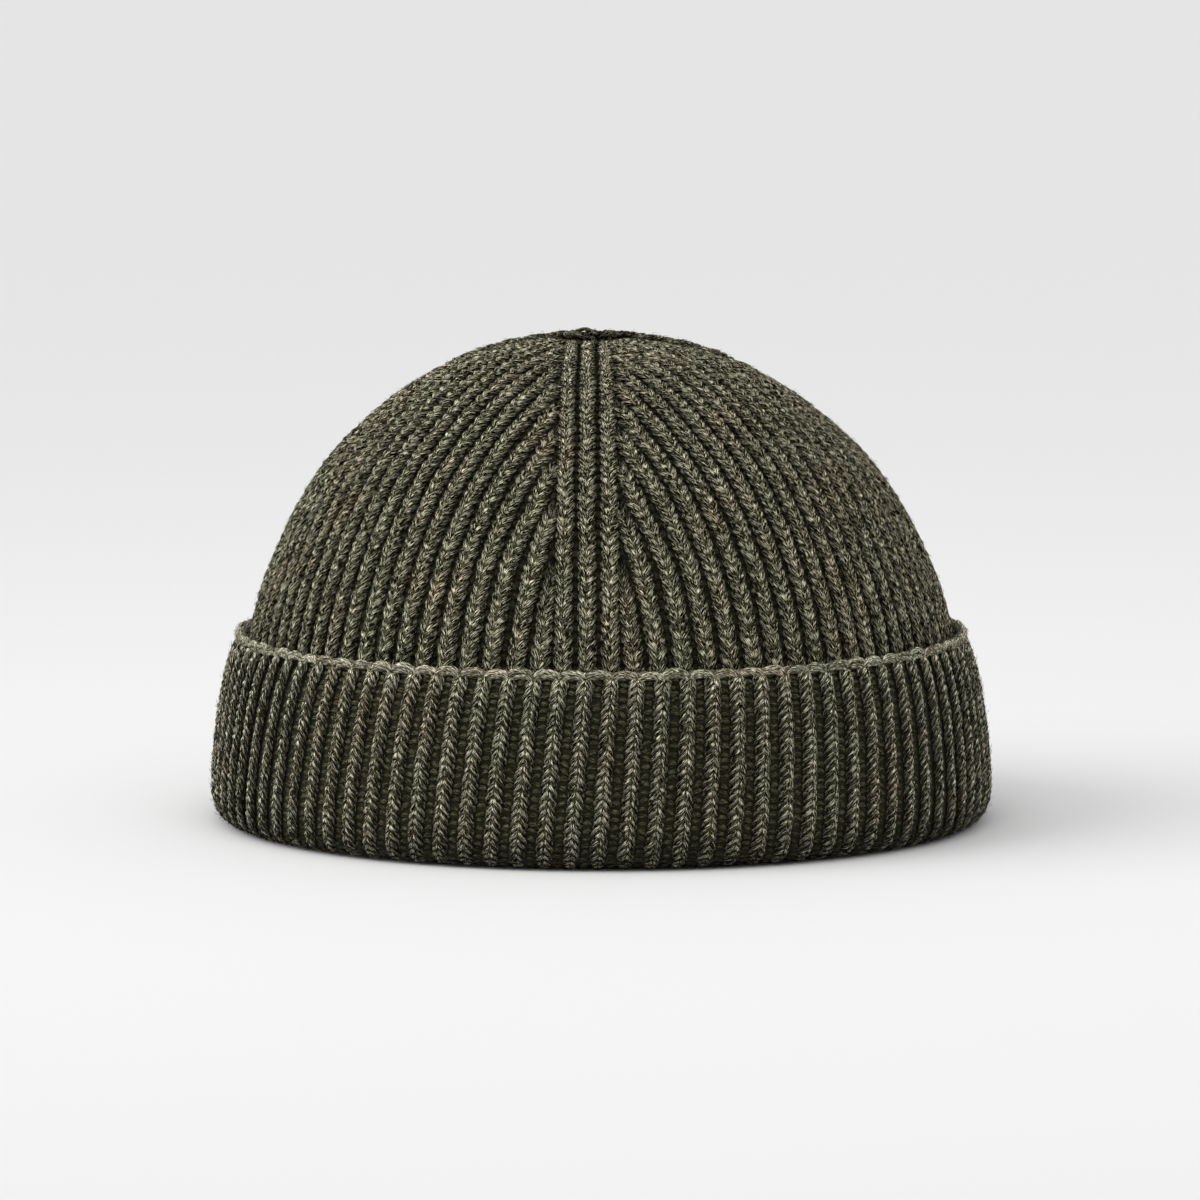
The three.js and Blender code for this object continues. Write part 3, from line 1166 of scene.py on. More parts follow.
@dataclass
class KnitLayout:
    """Sizes of the whole knit in millimetres and the places of its ribs.

    Args:
        base_radius: Radius over the ribs where the dome meets the cuff.
        wedges: Wedges, and columns of decreases between them.
        column_ribs: Ribs in a column.
        wedge_ribs: Ribs of a wedge at the dome's base.
        column_turn: Turn of the front column in degrees.
        top_shift: How far the dome's top stands to one side.
        cuff_lean: Turn of a cuff rib from its top to its foot in degrees.
        top_pitch: Spacing that a column's ribs would have at the top.
        pitch_growth: How much that spacing grows with each millimetre of radius.
        first_end_radius: Radius at which the outermost ribs of a wedge end.
        first_end_steps: Steps that a half wedge has lost there.
        end_gap: Radius from the end of one rib to the end of the next.
        fewest_steps: Rib steps that a half wedge keeps to the top.
        narrowest: Least width of a rib as a share of the full one.
        squeeze: How much narrower the ribs are at the cap's sides, as a share.
        squeeze_place: Sideways place at which that starts, as a share of the base radius.
        squeeze_run: Sideways distance over which it sets in, as a share of the same.
        furrow_gain: How much of the squeeze the furrows gain in width.
        step: Distance between the points at which a rib is measured.
        top_margin: Distance that the ribs stay away from the dome's very top.
        soft_top: The sunken top.
        apex: The filled furrows near the top and their painted shade.
        rib_end: How a wedge's rib runs out.
        cuff_top: Height of the cuff's edge, from the frame.
        crown_top: Height of the dome's top, from the frame.
        bulge_radius: Radius of the cuff where it is widest, from the frame.
    """

    base_radius: float = 81.0
    wedges: int = 4
    column_ribs: int = 3
    wedge_ribs: int = 20
    column_turn: float = -2.3
    top_shift: float = -3.0
    cuff_lean: float = -2.2
    top_pitch: float = 3.7
    pitch_growth: float = 0.02
    first_end_radius: float = 73.9
    first_end_steps: float = 0.5
    end_gap: float = 7.48
    fewest_steps: float = 0.6
    narrowest: float = 0.3
    squeeze: float = 0.25
    squeeze_place: float = 0.62
    squeeze_run: float = 0.36
    furrow_gain: float = 0.5
    step: float = 0.4
    top_margin: float = 0.8
    soft_top: SoftTop = SoftTop()
    apex: Apex = Apex()
    rib_end: RibEnd = RibEnd()
    cuff_top: float = field(default_factory=lambda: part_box("cuff_edge")[1].z / MM)
    crown_top: float = field(default_factory=lambda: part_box("crown")[1].z / MM)
    bulge_radius: float = field(default_factory=lambda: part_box("cuff")[1].x / MM)

    @property
    def rib_count(self) -> int:
        """Ribs all round."""
        return self.wedges * (self.column_ribs + self.wedge_ribs)

    @property
    def pitch(self) -> float:
        """Distance from rib to rib on the crown."""
        return 2 * math.pi * self.base_radius / self.rib_count

    @property
    def front(self) -> float:
        """Azimuth of the front column."""
        return -math.pi / 2 + math.radians(self.column_turn)

    def lean_shift(self, radius: np.ndarray) -> np.ndarray:
        """Sideways place of a ring's middle.

        Args:
            radius: Radius of the ring.

        Returns:
            How far its middle stands to the side.
        """
        return self.top_shift * np.maximum(0.0, 1.0 - radius / self.base_radius)

    def squeezed(self, azimuth: np.ndarray, radius: np.ndarray, furrow: bool) -> np.ndarray:
        """Reads how the knit draws together at the cap's sides.

        Args:
            azimuth: Azimuths of the places.
            radius: Their radii.
            furrow: Whether they lie in a furrow, which opens while the ribs narrow.

        Returns:
            Width at each place as a share of the usual one.
        """
        out = np.abs(radius * np.cos(azimuth)) / self.base_radius
        aside = smooth_step(out, self.squeeze_place, self.squeeze_run)
        return 1.0 + self.squeeze * aside * (self.furrow_gain if furrow else -1.0)

    def crowded(self, spacing: np.ndarray) -> np.ndarray:
        """Reads how wide ribs of a given spacing are.

        Args:
            spacing: Distance from rib to rib in millimetres.

        Returns:
            Their width as a share of the full one.
        """
        return np.clip(spacing / self.pitch, self.narrowest, 1.0)

    def column_pitch(self, radius: np.ndarray) -> np.ndarray:
        """Spacing of a column's ribs, which draw together towards the top.

        Args:
            radius: Radius of the ring.

        Returns:
            The spacing in millimetres.
        """
        last = 2 * math.pi * radius / (self.wedges * self.column_ribs)
        return np.minimum(self.top_pitch + self.pitch_growth * radius, last)

    def wedge_steps(self, radius: np.ndarray) -> np.ndarray:
        """Rib steps from a wedge's middle to the outer rib of the column beside it.

        Args:
            radius: Radius of the ring.

        Returns:
            The number of steps, which falls by one with each rib that ends.
        """
        most = (self.wedge_ribs + 1) / 2
        climbed = (self.base_radius - radius) / (self.base_radius - self.first_end_radius)
        below = most - self.first_end_steps * climbed
        above = most - self.first_end_steps - (self.first_end_radius - radius) / self.end_gap
        steps = np.where(radius > self.first_end_radius, below, above)
        return np.maximum(steps, self.fewest_steps)

    def dome(self) -> Outline:
        """Outline of the dome over its ribs, from just inside the cuff to the top.

        The sections hold the share of the dome's height and of its base radius.

        Returns:
            The outline.
        """
        sections = (
            (-0.09, 1.008), (0.00, 1.000), (0.15, 0.967), (0.30, 0.915), (0.45, 0.850),
            (0.60, 0.762), (0.72, 0.660), (0.82, 0.555), (0.90, 0.440), (0.955, 0.325),
            (0.990, 0.190), (1.000, 0.112), (0.996, 0.078), (0.982, 0.045), (0.970, 0.008))
        height = self.crown_top - self.cuff_top
        rows = [(radius * self.base_radius, self.cuff_top + share * height)
                for share, radius in sections]
        return Outline(spline_through(np.array(rows)))

    def cuff(self) -> Outline:
        """Outline of the cuff over its ribs, from under its edge round the fold.

        The sections hold the distance out from the widest radius, and the height.

        Returns:
            The outline, running downwards.
        """
        top = self.cuff_top
        sections = (
            (-6.4, top - 1.0), (-5.5, top - 2.2), (-4.3, top - 4.6), (-2.5, 34.0), (-0.8, 24.7),
            (0.4, 14.0), (0.55, 7.5), (-0.1, 3.6), (-1.9, 1.1), (-4.1, 0.25), (-6.0, 0.5),
            (-7.3, 2.2), (-7.6, 5.0))
        rows = [(self.bulge_radius + out, height) for out, height in sections]
        return Outline(spline_through(np.array(rows)))

    def path(self, outline: Outline, azimuth: np.ndarray, distance: np.ndarray,
             course: float, phase: float, width: np.ndarray, sink: np.ndarray,
             shade: np.ndarray, leaning: bool) -> Stitches:
        """Sets stitches at even steps along one rib.

        Args:
            outline: The outline that the rib climbs.
            azimuth: The rib's azimuth at each distance.
            distance: Distances along the outline.
            course: Length of a stitch.
            phase: Where the first stitch starts, as a share of a course.
            width: Width of the rib at each distance.
            sink: How far the rib is drawn in at each distance.
            shade: Painted shade and light: how much of its colour the rib keeps at each distance.
            leaning: Whether rings move sideways towards the leaning top.

        Returns:
            The rib's stitches.
        """
        radius, height = outline.at(distance)
        shift = self.lean_shift(radius) if leaning else np.zeros_like(radius)
        points = np.stack([shift + radius * np.cos(azimuth), radius * np.sin(azimuth), height], 1)
        if leaning:
            # Painted shade darkens the yarn in the crease.
            shade = shade * self.soft_top.shade(points, self.crown_top)
            points[:, 2] += self.soft_top.sag(points, self.crown_top)
        flat, rise = outline.normal(distance)
        outward = np.stack([flat * np.cos(azimuth), flat * np.sin(azimuth), rise], 1)
        if points[-1, 2] < points[0, 2]:
            outward = -outward
        steps = np.linalg.norm(np.diff(points, axis=0), axis=1)
        travel = np.concatenate([[0.0], np.cumsum(steps)])
        marks = np.arange(phase * course, travel[-1], course)
        along = unit(np.gradient(points, axis=0))

        def read(values: np.ndarray) -> np.ndarray:
            """Reads a row of values at the marks."""
            if values.ndim == 1:
                return np.interp(marks, travel, values)
            return np.stack([np.interp(marks, travel, values[:, i]) for i in range(3)], 1)

        out = unit(read(outward))
        up = read(along)
        up = unit(up - out * np.sum(up * out, 1, keepdims=True))
        return Stitches(read(points), up, out, read(width), read(sink),
                        np.full(len(marks), course), read(shade))

    def crown_path(self, outline: Outline, column: float, offset: float, in_wedge: bool,
                   furrow: bool, course: float, phase: float) -> Optional[Stitches]:
        """Sets the stitches of one crown rib or furrow.

        Args:
            outline: The dome's outline.
            column: Azimuth of the column or of the wedge's middle.
            offset: The rib's number from there, in halves for furrows.
            in_wedge: Whether the rib ends at a column.
            furrow: Whether this is a furrow, which fills up near the top.
            course: Length of a stitch.
            phase: Where the first stitch starts, as a share of a course.

        Returns:
            The stitches, or nothing if the rib has no length.
        """
        distance = np.arange(0.0, outline.length - self.top_margin, self.step)
        radius, _ = outline.at(distance)
        pitch = self.column_pitch(radius)
        # Painted shade in the furrows and in the pit at the top.
        shade = self.apex.shade(radius, furrow)
        raised = self.apex.fill * self.apex.filling(radius) * furrow
        if not in_wedge:
            azimuth = column + offset * pitch / radius
            width = self.crowded(pitch) * self.squeezed(azimuth, radius, furrow)
            return self.path(outline, azimuth, distance, course, phase, width, -raised, shade,
                             leaning=True)
        reach = math.pi / self.wedges - (self.column_ribs - 1) / 2 * pitch / radius
        steps = self.wedge_steps(radius)
        room = steps - abs(offset)
        alive = room > self.rib_end.cut
        stop = len(alive) if alive.all() else int(np.argmin(alive))
        if stop < self.rib_end.fewest:
            return None
        turn = reach / steps
        azimuth = column + np.sign(offset) * (steps - self.rib_end.drawn(room)) * turn
        width = self.rib_end.width(room) * self.crowded(turn * radius)
        width = width * self.squeezed(azimuth, radius, furrow)
        sink = self.rib_end.sunk(room) - raised
        return self.path(outline, azimuth[:stop], distance[:stop], course, phase, width[:stop],
                         sink[:stop], shade[:stop], leaning=True)


@dataclass
class Piece:
    """A finished visible piece and what it stands for."""

    built: bpy.types.Object
    part: Part

    def settle(self) -> None:
        """Ties the piece to the frame and reports it."""
        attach(self.built, BODY)
        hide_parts(self.part.node)
        LOG.info("%s: %d faces", self.built.name, len(self.built.data.polygons))


def flat_ring(radius: float | np.ndarray, azimuth: np.ndarray,
              height: float | np.ndarray) -> np.ndarray:
    """Places a ring of points about the cap's axis.

    Args:
        radius: Radius of the ring, or of each point.
        azimuth: Azimuths of the points.
        height: Height of the ring, or of each point.

    Returns:
        The points.
    """
    level = np.broadcast_to(height, azimuth.shape)
    return np.stack([radius * np.cos(azimuth), radius * np.sin(azimuth), level], 1)


def ring_shell(name: str, rings: list[np.ndarray], closed: bool) -> MeshDraft:
    """Joins rings of equal count into a skin.

    Args:
        name: Name of the object to be.
        rings: Rings of points in millimetres, in order.
        closed: Whether the last ring joins the first.

    Returns:
        The mesh draft.
    """
    count = len(rings[0])
    pairs = [(k, (k + 1) % len(rings)) for k in range(len(rings) if closed else len(rings) - 1)]
    around = np.arange(count)
    ahead = (around + 1) % count
    faces = [np.stack([a * count + around, a * count + ahead, b * count + ahead,
                       b * count + around], 1) for a, b in pairs]
    return MeshDraft(name, np.vstack(rings) * MM, np.vstack(faces))


@dataclass
class Crown:
    """The dome: columns and wedges of ribs over a dark backing, and the ribbed inside.

    Args:
        layout: Sizes of the knit.
        stitch: Shape of its stitches.
        purl: Shape of the cross strands in its furrows.
        core: Shape of the filling under a rib.
        wall: Thickness from the ribs to the inside in millimetres.
        backing_depth: Depth of the backing below the ribs.
        backing_rings: Rings of the backing from the cuff to the top.
        backing_margin: Distance that it stays away from the dome's very top.
        smallest_ring: Least radius of a ring.
        inside_relief: Height of the ribs on the inside.
        relief_radius: Radius within which the inside ribs fade out.
        relief_fade: How far towards the top they have gone, as a share of that radius.
        foot_inset: Distance from the widest radius in to the band's outside.
        foot_height: Height of the band's foot inside the fold.
        phase: Farthest that a rib's first stitch is shifted, as a share of a course.
        seed: Start of the random draws.
    """

    layout: KnitLayout
    stitch: StitchShape = StitchShape(
        course=2.46, foot=0.15, head=1.62, yarn=0.80, overlap=1.7, drop=1.0, tuck=0.3,
        dim=1.15)
    purl: PurlShape = PurlShape(
        reach=1.0, depth=2.2, bow=0.3, arch=-0.2, yarn=1.3, flatness=0.36)
    core: CoreShape = CoreShape(depth=1.75, width=1.8, thickness=0.95)
    wall: float = 3.4
    backing_depth: float = 2.35
    backing_rings: int = 18
    backing_margin: float = 1.2
    smallest_ring: float = 0.3
    inside_relief: float = 0.55
    relief_radius: float = 25.0
    relief_fade: float = 0.4
    foot_inset: float = 4.1
    foot_height: float = 4.0
    phase: float = 0.2
    seed: int = 11

    def _field(self, random: np.random.Generator, in_wedge: bool,
               furrows: bool) -> list[Stitches]:
        """Lays the stitches of all columns or all wedges, rib by rib.

        Args:
            random: Source of the ribs' starting phases.
            in_wedge: Whether to lay the wedges instead of the columns.
            furrows: Whether to lay the furrows instead of the ribs.

        Returns:
            The stitches of each rib or furrow.
        """
        layout = self.layout
        outline = layout.dome()
        turn = 2 * math.pi / layout.wedges
        count = layout.wedge_ribs if in_wedge else layout.column_ribs
        offsets = np.arange(count) - (count - 1) / 2
        if furrows:
            offsets = np.arange(count + 1) - count / 2
        groups = []
        for k in range(layout.wedges):
            start = layout.front + k * turn + (turn / 2 if in_wedge else 0.0)
            for offset in offsets:
                phase = self.phase * random.random()
                laid = layout.crown_path(outline, start, float(offset), in_wedge, furrows,
                                         self.stitch.course, phase)
                if laid is not None:
                    groups.append(laid)
        return groups

    def _backing(self) -> MeshDraft:
        """Makes the closed backing: a smooth outside and a ribbed inside.

        Returns:
            The mesh draft.
        """
        layout = self.layout
        outline = layout.dome()
        count = 4 * layout.rib_count
        azimuth = layout.front + 2 * math.pi * np.arange(count) / count
        distance = np.linspace(0.0, outline.length - self.backing_margin, self.backing_rings)

        def ring(at: float, depth: np.ndarray | float) -> np.ndarray:
            """Makes a ring below the ribs."""
            radius, height = (float(v) for v in outline.at(np.array(at)))
            flat, rise = (float(v) for v in outline.normal(np.array(at)))
            inner = np.maximum(radius - flat * depth, self.smallest_ring)
            shift = float(layout.lean_shift(np.array(radius)))
            points = flat_ring(inner, azimuth, height - rise * depth)
            points[:, 0] += shift
            points[:, 2] += layout.soft_top.sag(points, layout.crown_top)
            return points

        rings = [ring(at, self.backing_depth) for at in distance]
        relief = self.inside_relief * np.cos(layout.rib_count * (azimuth - layout.front))
        for at in distance[::-1]:
            radius, _ = outline.at(np.array(at))
            fade = float(np.clip(radius / self.relief_radius - self.relief_fade, 0.0, 1.0))
            rings.append(ring(at, self.wall + relief * fade))
        foot_radius = layout.bulge_radius - self.foot_inset
        for depth in (self.wall, self.backing_depth):
            rings.append(flat_ring(foot_radius - depth, azimuth, self.foot_height))
        return ring_shell("crown_backing", rings, closed=True)

    def build(self, dyed: Dyed, fuzz: Fuzz) -> list[Piece]:
        """Makes the crown's pieces.

        Args:
            dyed: The finishes.
            fuzz: The loose fibres on the stitches.

        Returns:
            The pieces.
        """
        random = np.random.default_rng(self.seed)
        pieces = [self._backing().build(dyed.backing)]
        column_ribs = self._field(random, in_wedge=False, furrows=False)
        wedge_ribs = self._field(random, in_wedge=True, furrows=False)
        cores = self.core.fill(column_ribs + wedge_ribs)
        pieces.append(cores.draft("crown_rib_cores").build(dyed.furrow))
        columns = self.stitch.legs(Stitches.gather(column_ribs), random)
        pieces.append(columns.draft("crown_columns").build(dyed.crown))
        pieces.append(fuzz.hairs(columns, random).draft("crown_columns_fuzz").build(dyed.fibre))
        wedges = Stitches.gather(wedge_ribs)
        for region in Region:
            legs = self.stitch.legs(wedges.half(region), random)
            pieces.append(legs.draft(f"crown_wedges_{region.value}").build(dyed.crown))
            hairs = fuzz.hairs(legs, random)
            pieces.append(hairs.draft(f"crown_fuzz_{region.value}").build(dyed.fibre))
        furrows = Stitches.gather(self._field(random, in_wedge=False, furrows=True)
                                  + self._field(random, in_wedge=True, furrows=True))
        pieces.append(self.purl.bars(furrows, random).draft("crown_furrows").build(dyed.furrow))
        return [Piece(built, Part.CROWN) for built in pieces]


@dataclass
class Cuff:
    """The turned-up cuff: ribs of inverted stitches, cross strands, and the fold.

    Args:
        layout: Sizes of the knit.
        stitch: Shape of its stitches.
        purl: Shape of the cross strands in its furrows.
        core: Shape of the filling under a rib.
        backing_depth: Depth of the backing below the ribs.
        backing_rings: Rings of the backing along the outline.
        backing_wall: Thickness of the backing at its top.
        fold_fill: How much the furrows fill up round the fold in millimetres.
        fold_height: Height at which they start to.
        foot_shade: Painted shade: how much of its colour the yarn keeps at the foot, by the fold
            and the floor.
        foot_run: Height over which it brightens.
        top_gain: How much brighter it is right under the edge: partly paler yarn, partly painted
            light from above.
        top_run: Height over which that fades.
        furrow_fuzz: Share and stray of the loose fibres in the furrows.
        lowest: Height that the yarn is flattened to where it rests, in millimetres.
        seed: Start of the random draws.
    """

    layout: KnitLayout
    stitch: StitchShape = StitchShape(
        course=1.8, foot=0.17, head=1.55, yarn=0.49, overlap=1.95, drop=1.5, tuck=0.12,
        slope=1.5, dim=0.95, sides=5)
    purl: PurlShape = PurlShape(reach=1.3, depth=2.15, bow=-0.35, arch=-0.1, yarn=0.6)
    core: CoreShape = CoreShape(depth=1.72, width=1.05, thickness=0.9)
    backing_depth: float = 2.4
    backing_rings: int = 30
    backing_wall: float = 1.0
    fold_fill: float = 1.3
    fold_height: float = 5.0
    foot_shade: float = 0.35
    foot_run: float = 11.0
    top_gain: float = 1.5
    top_run: float = 2.6
    furrow_fuzz: tuple[float, float] = (2.0, 0.9)
    lowest: float = 0.05
    seed: int = 23

    def _filling(self, height: np.ndarray) -> np.ndarray:
        """Reads how far the furrows are filled up at each height, in millimetres."""
        return self.fold_fill * (1 - smooth_step(height, reach=self.fold_height))

    def _field(self, furrows: bool) -> list[Stitches]:
        """Lays the stitches of all ribs or all furrows.

        Args:
            furrows: Whether to lay the furrows instead of the ribs.

        Returns:
            The stitches of each rib or furrow.
        """
        layout = self.layout
        outline = layout.cuff()
        distance = np.arange(0.0, outline.length, layout.step)
        radius, height = outline.at(distance)
        lean = math.radians(layout.cuff_lean) * (1 - height / layout.cuff_top)
        # Painted shade darkens the ribs towards the foot; under the edge they brighten, partly
        # paler yarn and partly painted light.
        foot = self.foot_shade + (1 - self.foot_shade) * smooth_step(height, reach=self.foot_run)
        shade = foot * (1.0 + self.top_gain * hump(height, layout.cuff_top, self.top_run))
        sink = -self._filling(height) * furrows
        step = 2 * math.pi / layout.rib_count
        groups = []
        for k in range(layout.rib_count):
            azimuth = layout.front + (k + (0.5 if furrows else 0.0)) * step + lean
            groups.append(layout.path(
                outline, azimuth, distance, self.stitch.course, 0.5 * (k % 2) * furrows,
                layout.squeezed(azimuth, radius, furrows), sink, shade, leaning=False))
        return groups

    def _backing(self) -> MeshDraft:
        """Makes the closed backing between the ribs and the crown's band.

        Returns:
            The mesh draft.
        """
        layout = self.layout
        outline = layout.cuff()
        count = 2 * layout.rib_count
        azimuth = layout.front + 2 * math.pi * np.arange(count) / count
        rings = []
        for at in np.linspace(0.0, outline.length, self.backing_rings):
            radius, height = (float(v) for v in outline.at(np.array(at)))
            flat, rise = (-float(v) for v in outline.normal(np.array(at)))
            depth = self.backing_depth - float(self._filling(np.array(height)))
            rings.append(flat_ring(radius - flat * depth, azimuth, height - rise * depth))
        top = rings[0]
        top_radius = np.linalg.norm(top[:, :2], axis=1)
        rings.append(flat_ring(top_radius - self.backing_wall, azimuth, top[:, 2]))
        return ring_shell("cuff_backing", rings[::-1], closed=True)

    def build(self, dyed: Dyed, fuzz: Fuzz) -> list[Piece]:
        """Makes the cuff's pieces.

        Args:
            dyed: The finishes.
            fuzz: The loose fibres on the stitches.

        Returns:
            The pieces.
        """
        random = np.random.default_rng(self.seed)
        pieces = [self._backing().build(dyed.backing)]
        ribs = self._field(furrows=False)
        cores = self.core.fill(ribs)
        pieces.append(cores.draft("cuff_rib_cores", self.lowest).build(dyed.furrow))
        stitches = Stitches.gather(ribs)
        for region in Region:
            legs = self.stitch.legs(stitches.half(region), random)
            pieces.append(legs.draft(f"cuff_ribs_{region.value}", self.lowest).build(dyed.cuff))
            hairs = fuzz.hairs(legs, random)
            pieces.append(hairs.draft(f"cuff_fuzz_{region.value}", self.lowest).build(dyed.fibre))
        bars = self.purl.bars(Stitches.gather(self._field(furrows=True)), random)
        pieces.append(bars.draft("cuff_furrows", self.lowest).build(dyed.furrow))
        share, stray = self.furrow_fuzz
        loose = replace(fuzz, share=share, stray=stray).hairs(bars, random)
        pieces.append(loose.draft("cuff_furrow_fuzz", self.lowest).build(dyed.furrow))
        return [Piece(built, Part.CUFF) for built in pieces]


@dataclass
class CastOnEdge:
    """The cast-on edge: loops bridging every furrow and a cord behind them.

    Args:
        layout: Sizes of the knit.
        yarn: Radius of the yarn in millimetres.
        rows: Rows of loops, one below the other.
        row_gap: Distance from one row of loops to the next.
        sunk: How far the first row's middle lies under the top of the edge.
        drop: How far a loop's ends hang down onto the ribs.
        arch: How flat a loop's middle is, as a power.
        row_arch: How much flatter the next row is.
        half_span: Half a loop's width in rib steps.
        row_narrowing: How much narrower the next row is.
        stand_out: How far the loops' middles stand outside the base radius.
        row_inset: How much farther in the next row lies.
        end_out: How much farther out a loop's ends lie.
        taper: How much thinner its ends are, as a share.
        row_dimming: Painted shade: how much less of its colour the next row keeps.
        uneven: Spread of azimuth, height, radius and thickness from loop to loop.
        cord_out: How far the cord's middle stands outside the base radius.
        cord_sunk: How far it lies under the top of the edge.
        cord_twist: Radius of the cord's twist.
        cord_shade: Painted shade: how much of its colour the cord keeps behind the loops.
        cord_uneven: Spread of its strands' thickness.
        tone_spread: Spread of tones.
        seed: Start of the random draws.
    """

    layout: KnitLayout
    yarn: float = 0.64
    rows: int = 2
    row_gap: float = 0.9
    sunk: float = 0.95
    drop: float = 1.4
    arch: float = 2.6
    row_arch: float = 0.4
    half_span: float = 0.56
    row_narrowing: float = 0.03
    stand_out: float = 2.25
    row_inset: float = 0.1
    end_out: float = 0.4
    taper: float = 0.3
    row_dimming: float = 0.22
    uneven: tuple[float, float, float, float] = (0.003, 0.2, 0.07, 0.08)
    cord_out: float = 1.5
    cord_sunk: float = 1.75
    cord_twist: float = 0.4
    cord_shade: float = 0.4
    cord_uneven: float = 0.06
    tone_spread: float = 0.4
    seed: int = 31

    def _loops(self, random: np.random.Generator) -> Strands:
        """Lays the loops from rib to rib.

        Args:
            random: Source of small unevenness.

        Returns:
            The loops.
        """
        layout = self.layout
        step = 2 * math.pi / layout.rib_count
        count = layout.rib_count * self.rows
        share = np.linspace(-1.0, 1.0, 9)[None]
        number = np.arange(count)
        row = (number // layout.rib_count)[:, None]
        centre = layout.front + (number % layout.rib_count + 0.5)[:, None] * step
        turned, raised, moved, thicker = (random.normal(0, spread, (count, 1))
                                          for spread in self.uneven)
        span = self.half_span - self.row_narrowing * row
        azimuth = centre + turned + span * step * share
        top = layout.cuff_top - self.sunk - self.row_gap * row + raised
        height = top - self.drop * np.abs(share) ** (self.arch + self.row_arch * row)
        out = self.stand_out - self.row_inset * row + self.end_out * share ** 2
        radius = layout.base_radius + out + moved
        line = np.stack([radius * np.cos(azimuth), radius * np.sin(azimuth), height], 2)
        thick = self.yarn * (1 - self.taper * share ** 2) * (1 + thicker)
        facing = np.broadcast_to(UPWARD, line.shape)
        # Painted shade: the lower row of loops is darker.
        shade = np.broadcast_to(1.0 - self.row_dimming * row, line.shape[:2])
        tone = random.normal(0.0, self.tone_spread, count)
        return Strands(line, facing, thick, tone, shade)

    def _cord(self, random: np.random.Generator) -> Strands:
        """Lays the twisted cord behind the loops.

        Args:
            random: Source of small unevenness.

        Returns:
            The cord's strands.
        """
        layout = self.layout
        turns = 2 * layout.rib_count
        number = np.arange(2 * turns)[:, None]
        share = np.linspace(-0.3, 1.3, 7)[None]
        place = 2 * math.pi * (number % turns + share) / turns
        twist = place * layout.rib_count + math.pi * (number // turns)
        radius = layout.base_radius + self.cord_out + self.cord_twist * np.cos(twist)
        height = layout.cuff_top - self.cord_sunk + self.cord_twist * np.sin(twist)
        azimuth = layout.front + place
        line = np.stack([radius * np.cos(azimuth), radius * np.sin(azimuth), height], 2)
        size = 1 + random.normal(0, self.cord_uneven, (len(line), 1))
        thick = np.full(line.shape[:2], self.yarn) * size
        facing = np.broadcast_to(UPWARD, line.shape)
        tone = random.normal(0.0, self.tone_spread, len(line))
        # The cord keeps only part of its colour: painted shade behind the loops.
        return Strands(line, facing, thick, tone, np.full(line.shape[:2], self.cord_shade))

    def build(self, yarn: bpy.types.Material, fuzz: Fuzz,
              fibre: bpy.types.Material) -> list[Piece]:
        """Makes the edge's pieces.

        Args:
            yarn: Finish of the edge.
            fuzz: The loose fibres on it.
            fibre: Their finish.

        Returns:
            The pieces.
        """
        random = np.random.default_rng(self.seed)
        loops = self._loops(random)
        pieces = [loops.draft("cuff_edge_loops").build(yarn),
                  self._cord(random).draft("cuff_edge_cord").build(yarn),
                  fuzz.hairs(loops, random).draft("cuff_edge_fuzz").build(fibre)]
        return [Piece(built, Part.EDGE) for built in pieces]


@dataclass
class ClosureTie:
    """The small loop of yarn that draws the last stitches shut.

    Args:
        yarn_radius: Radius of the yarn in millimetres.
        turns: Turns of the loop.
        start: Where it starts, as a share of a turn.
        sweep: Radius of its first turn.
        closing: How much tighter it is at its end.
        wobble: How uneven its round is.
        squash: Its depth as a share of its width.
        rise: How far it rises and falls on its way round.
        dive: How far its end dives into the top.
        shift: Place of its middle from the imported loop's middle.
    """

    yarn_radius: float = 0.42
    turns: float = 1.35
    start: float = -0.15
    sweep: float = 1.55
    closing: float = 0.4
    wobble: float = 0.2
    squash: float = 0.8
    rise: float = 0.5
    dive: float = 3.0
    shift: tuple[float, float, float] = (-1.4, 0.0, 0.5)

    def build(self, yarn: bpy.types.Material) -> list[Piece]:
        """Makes the tie.

        Args:
            yarn: Finish of the tie.

        Returns:
            The piece.
        """
        low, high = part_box("closure_tie")
        centre = np.array((low + high) / 2) / MM + self.shift
        share = np.linspace(0.0, 1.0, 34)
        turn = 2 * math.pi * (self.turns * share + self.start)
        sweep = self.sweep - self.closing * share + self.wobble * np.sin(3 * turn)
        rise = self.rise * np.sin(turn + 0.5) - self.dive * share ** 4
        points = centre + np.stack([sweep * np.cos(turn), self.squash * sweep * np.sin(turn),
                                    rise], 1)
        line = points[None]
        even = np.ones(line.shape[:2])
        loop = Strands(line, np.broadcast_to(UPWARD, line.shape), self.yarn_radius * even,
                       np.zeros(1), even, sides=8)
        return [Piece(loop.draft("closure_loop").build(yarn), Part.TIE)]


# The studio


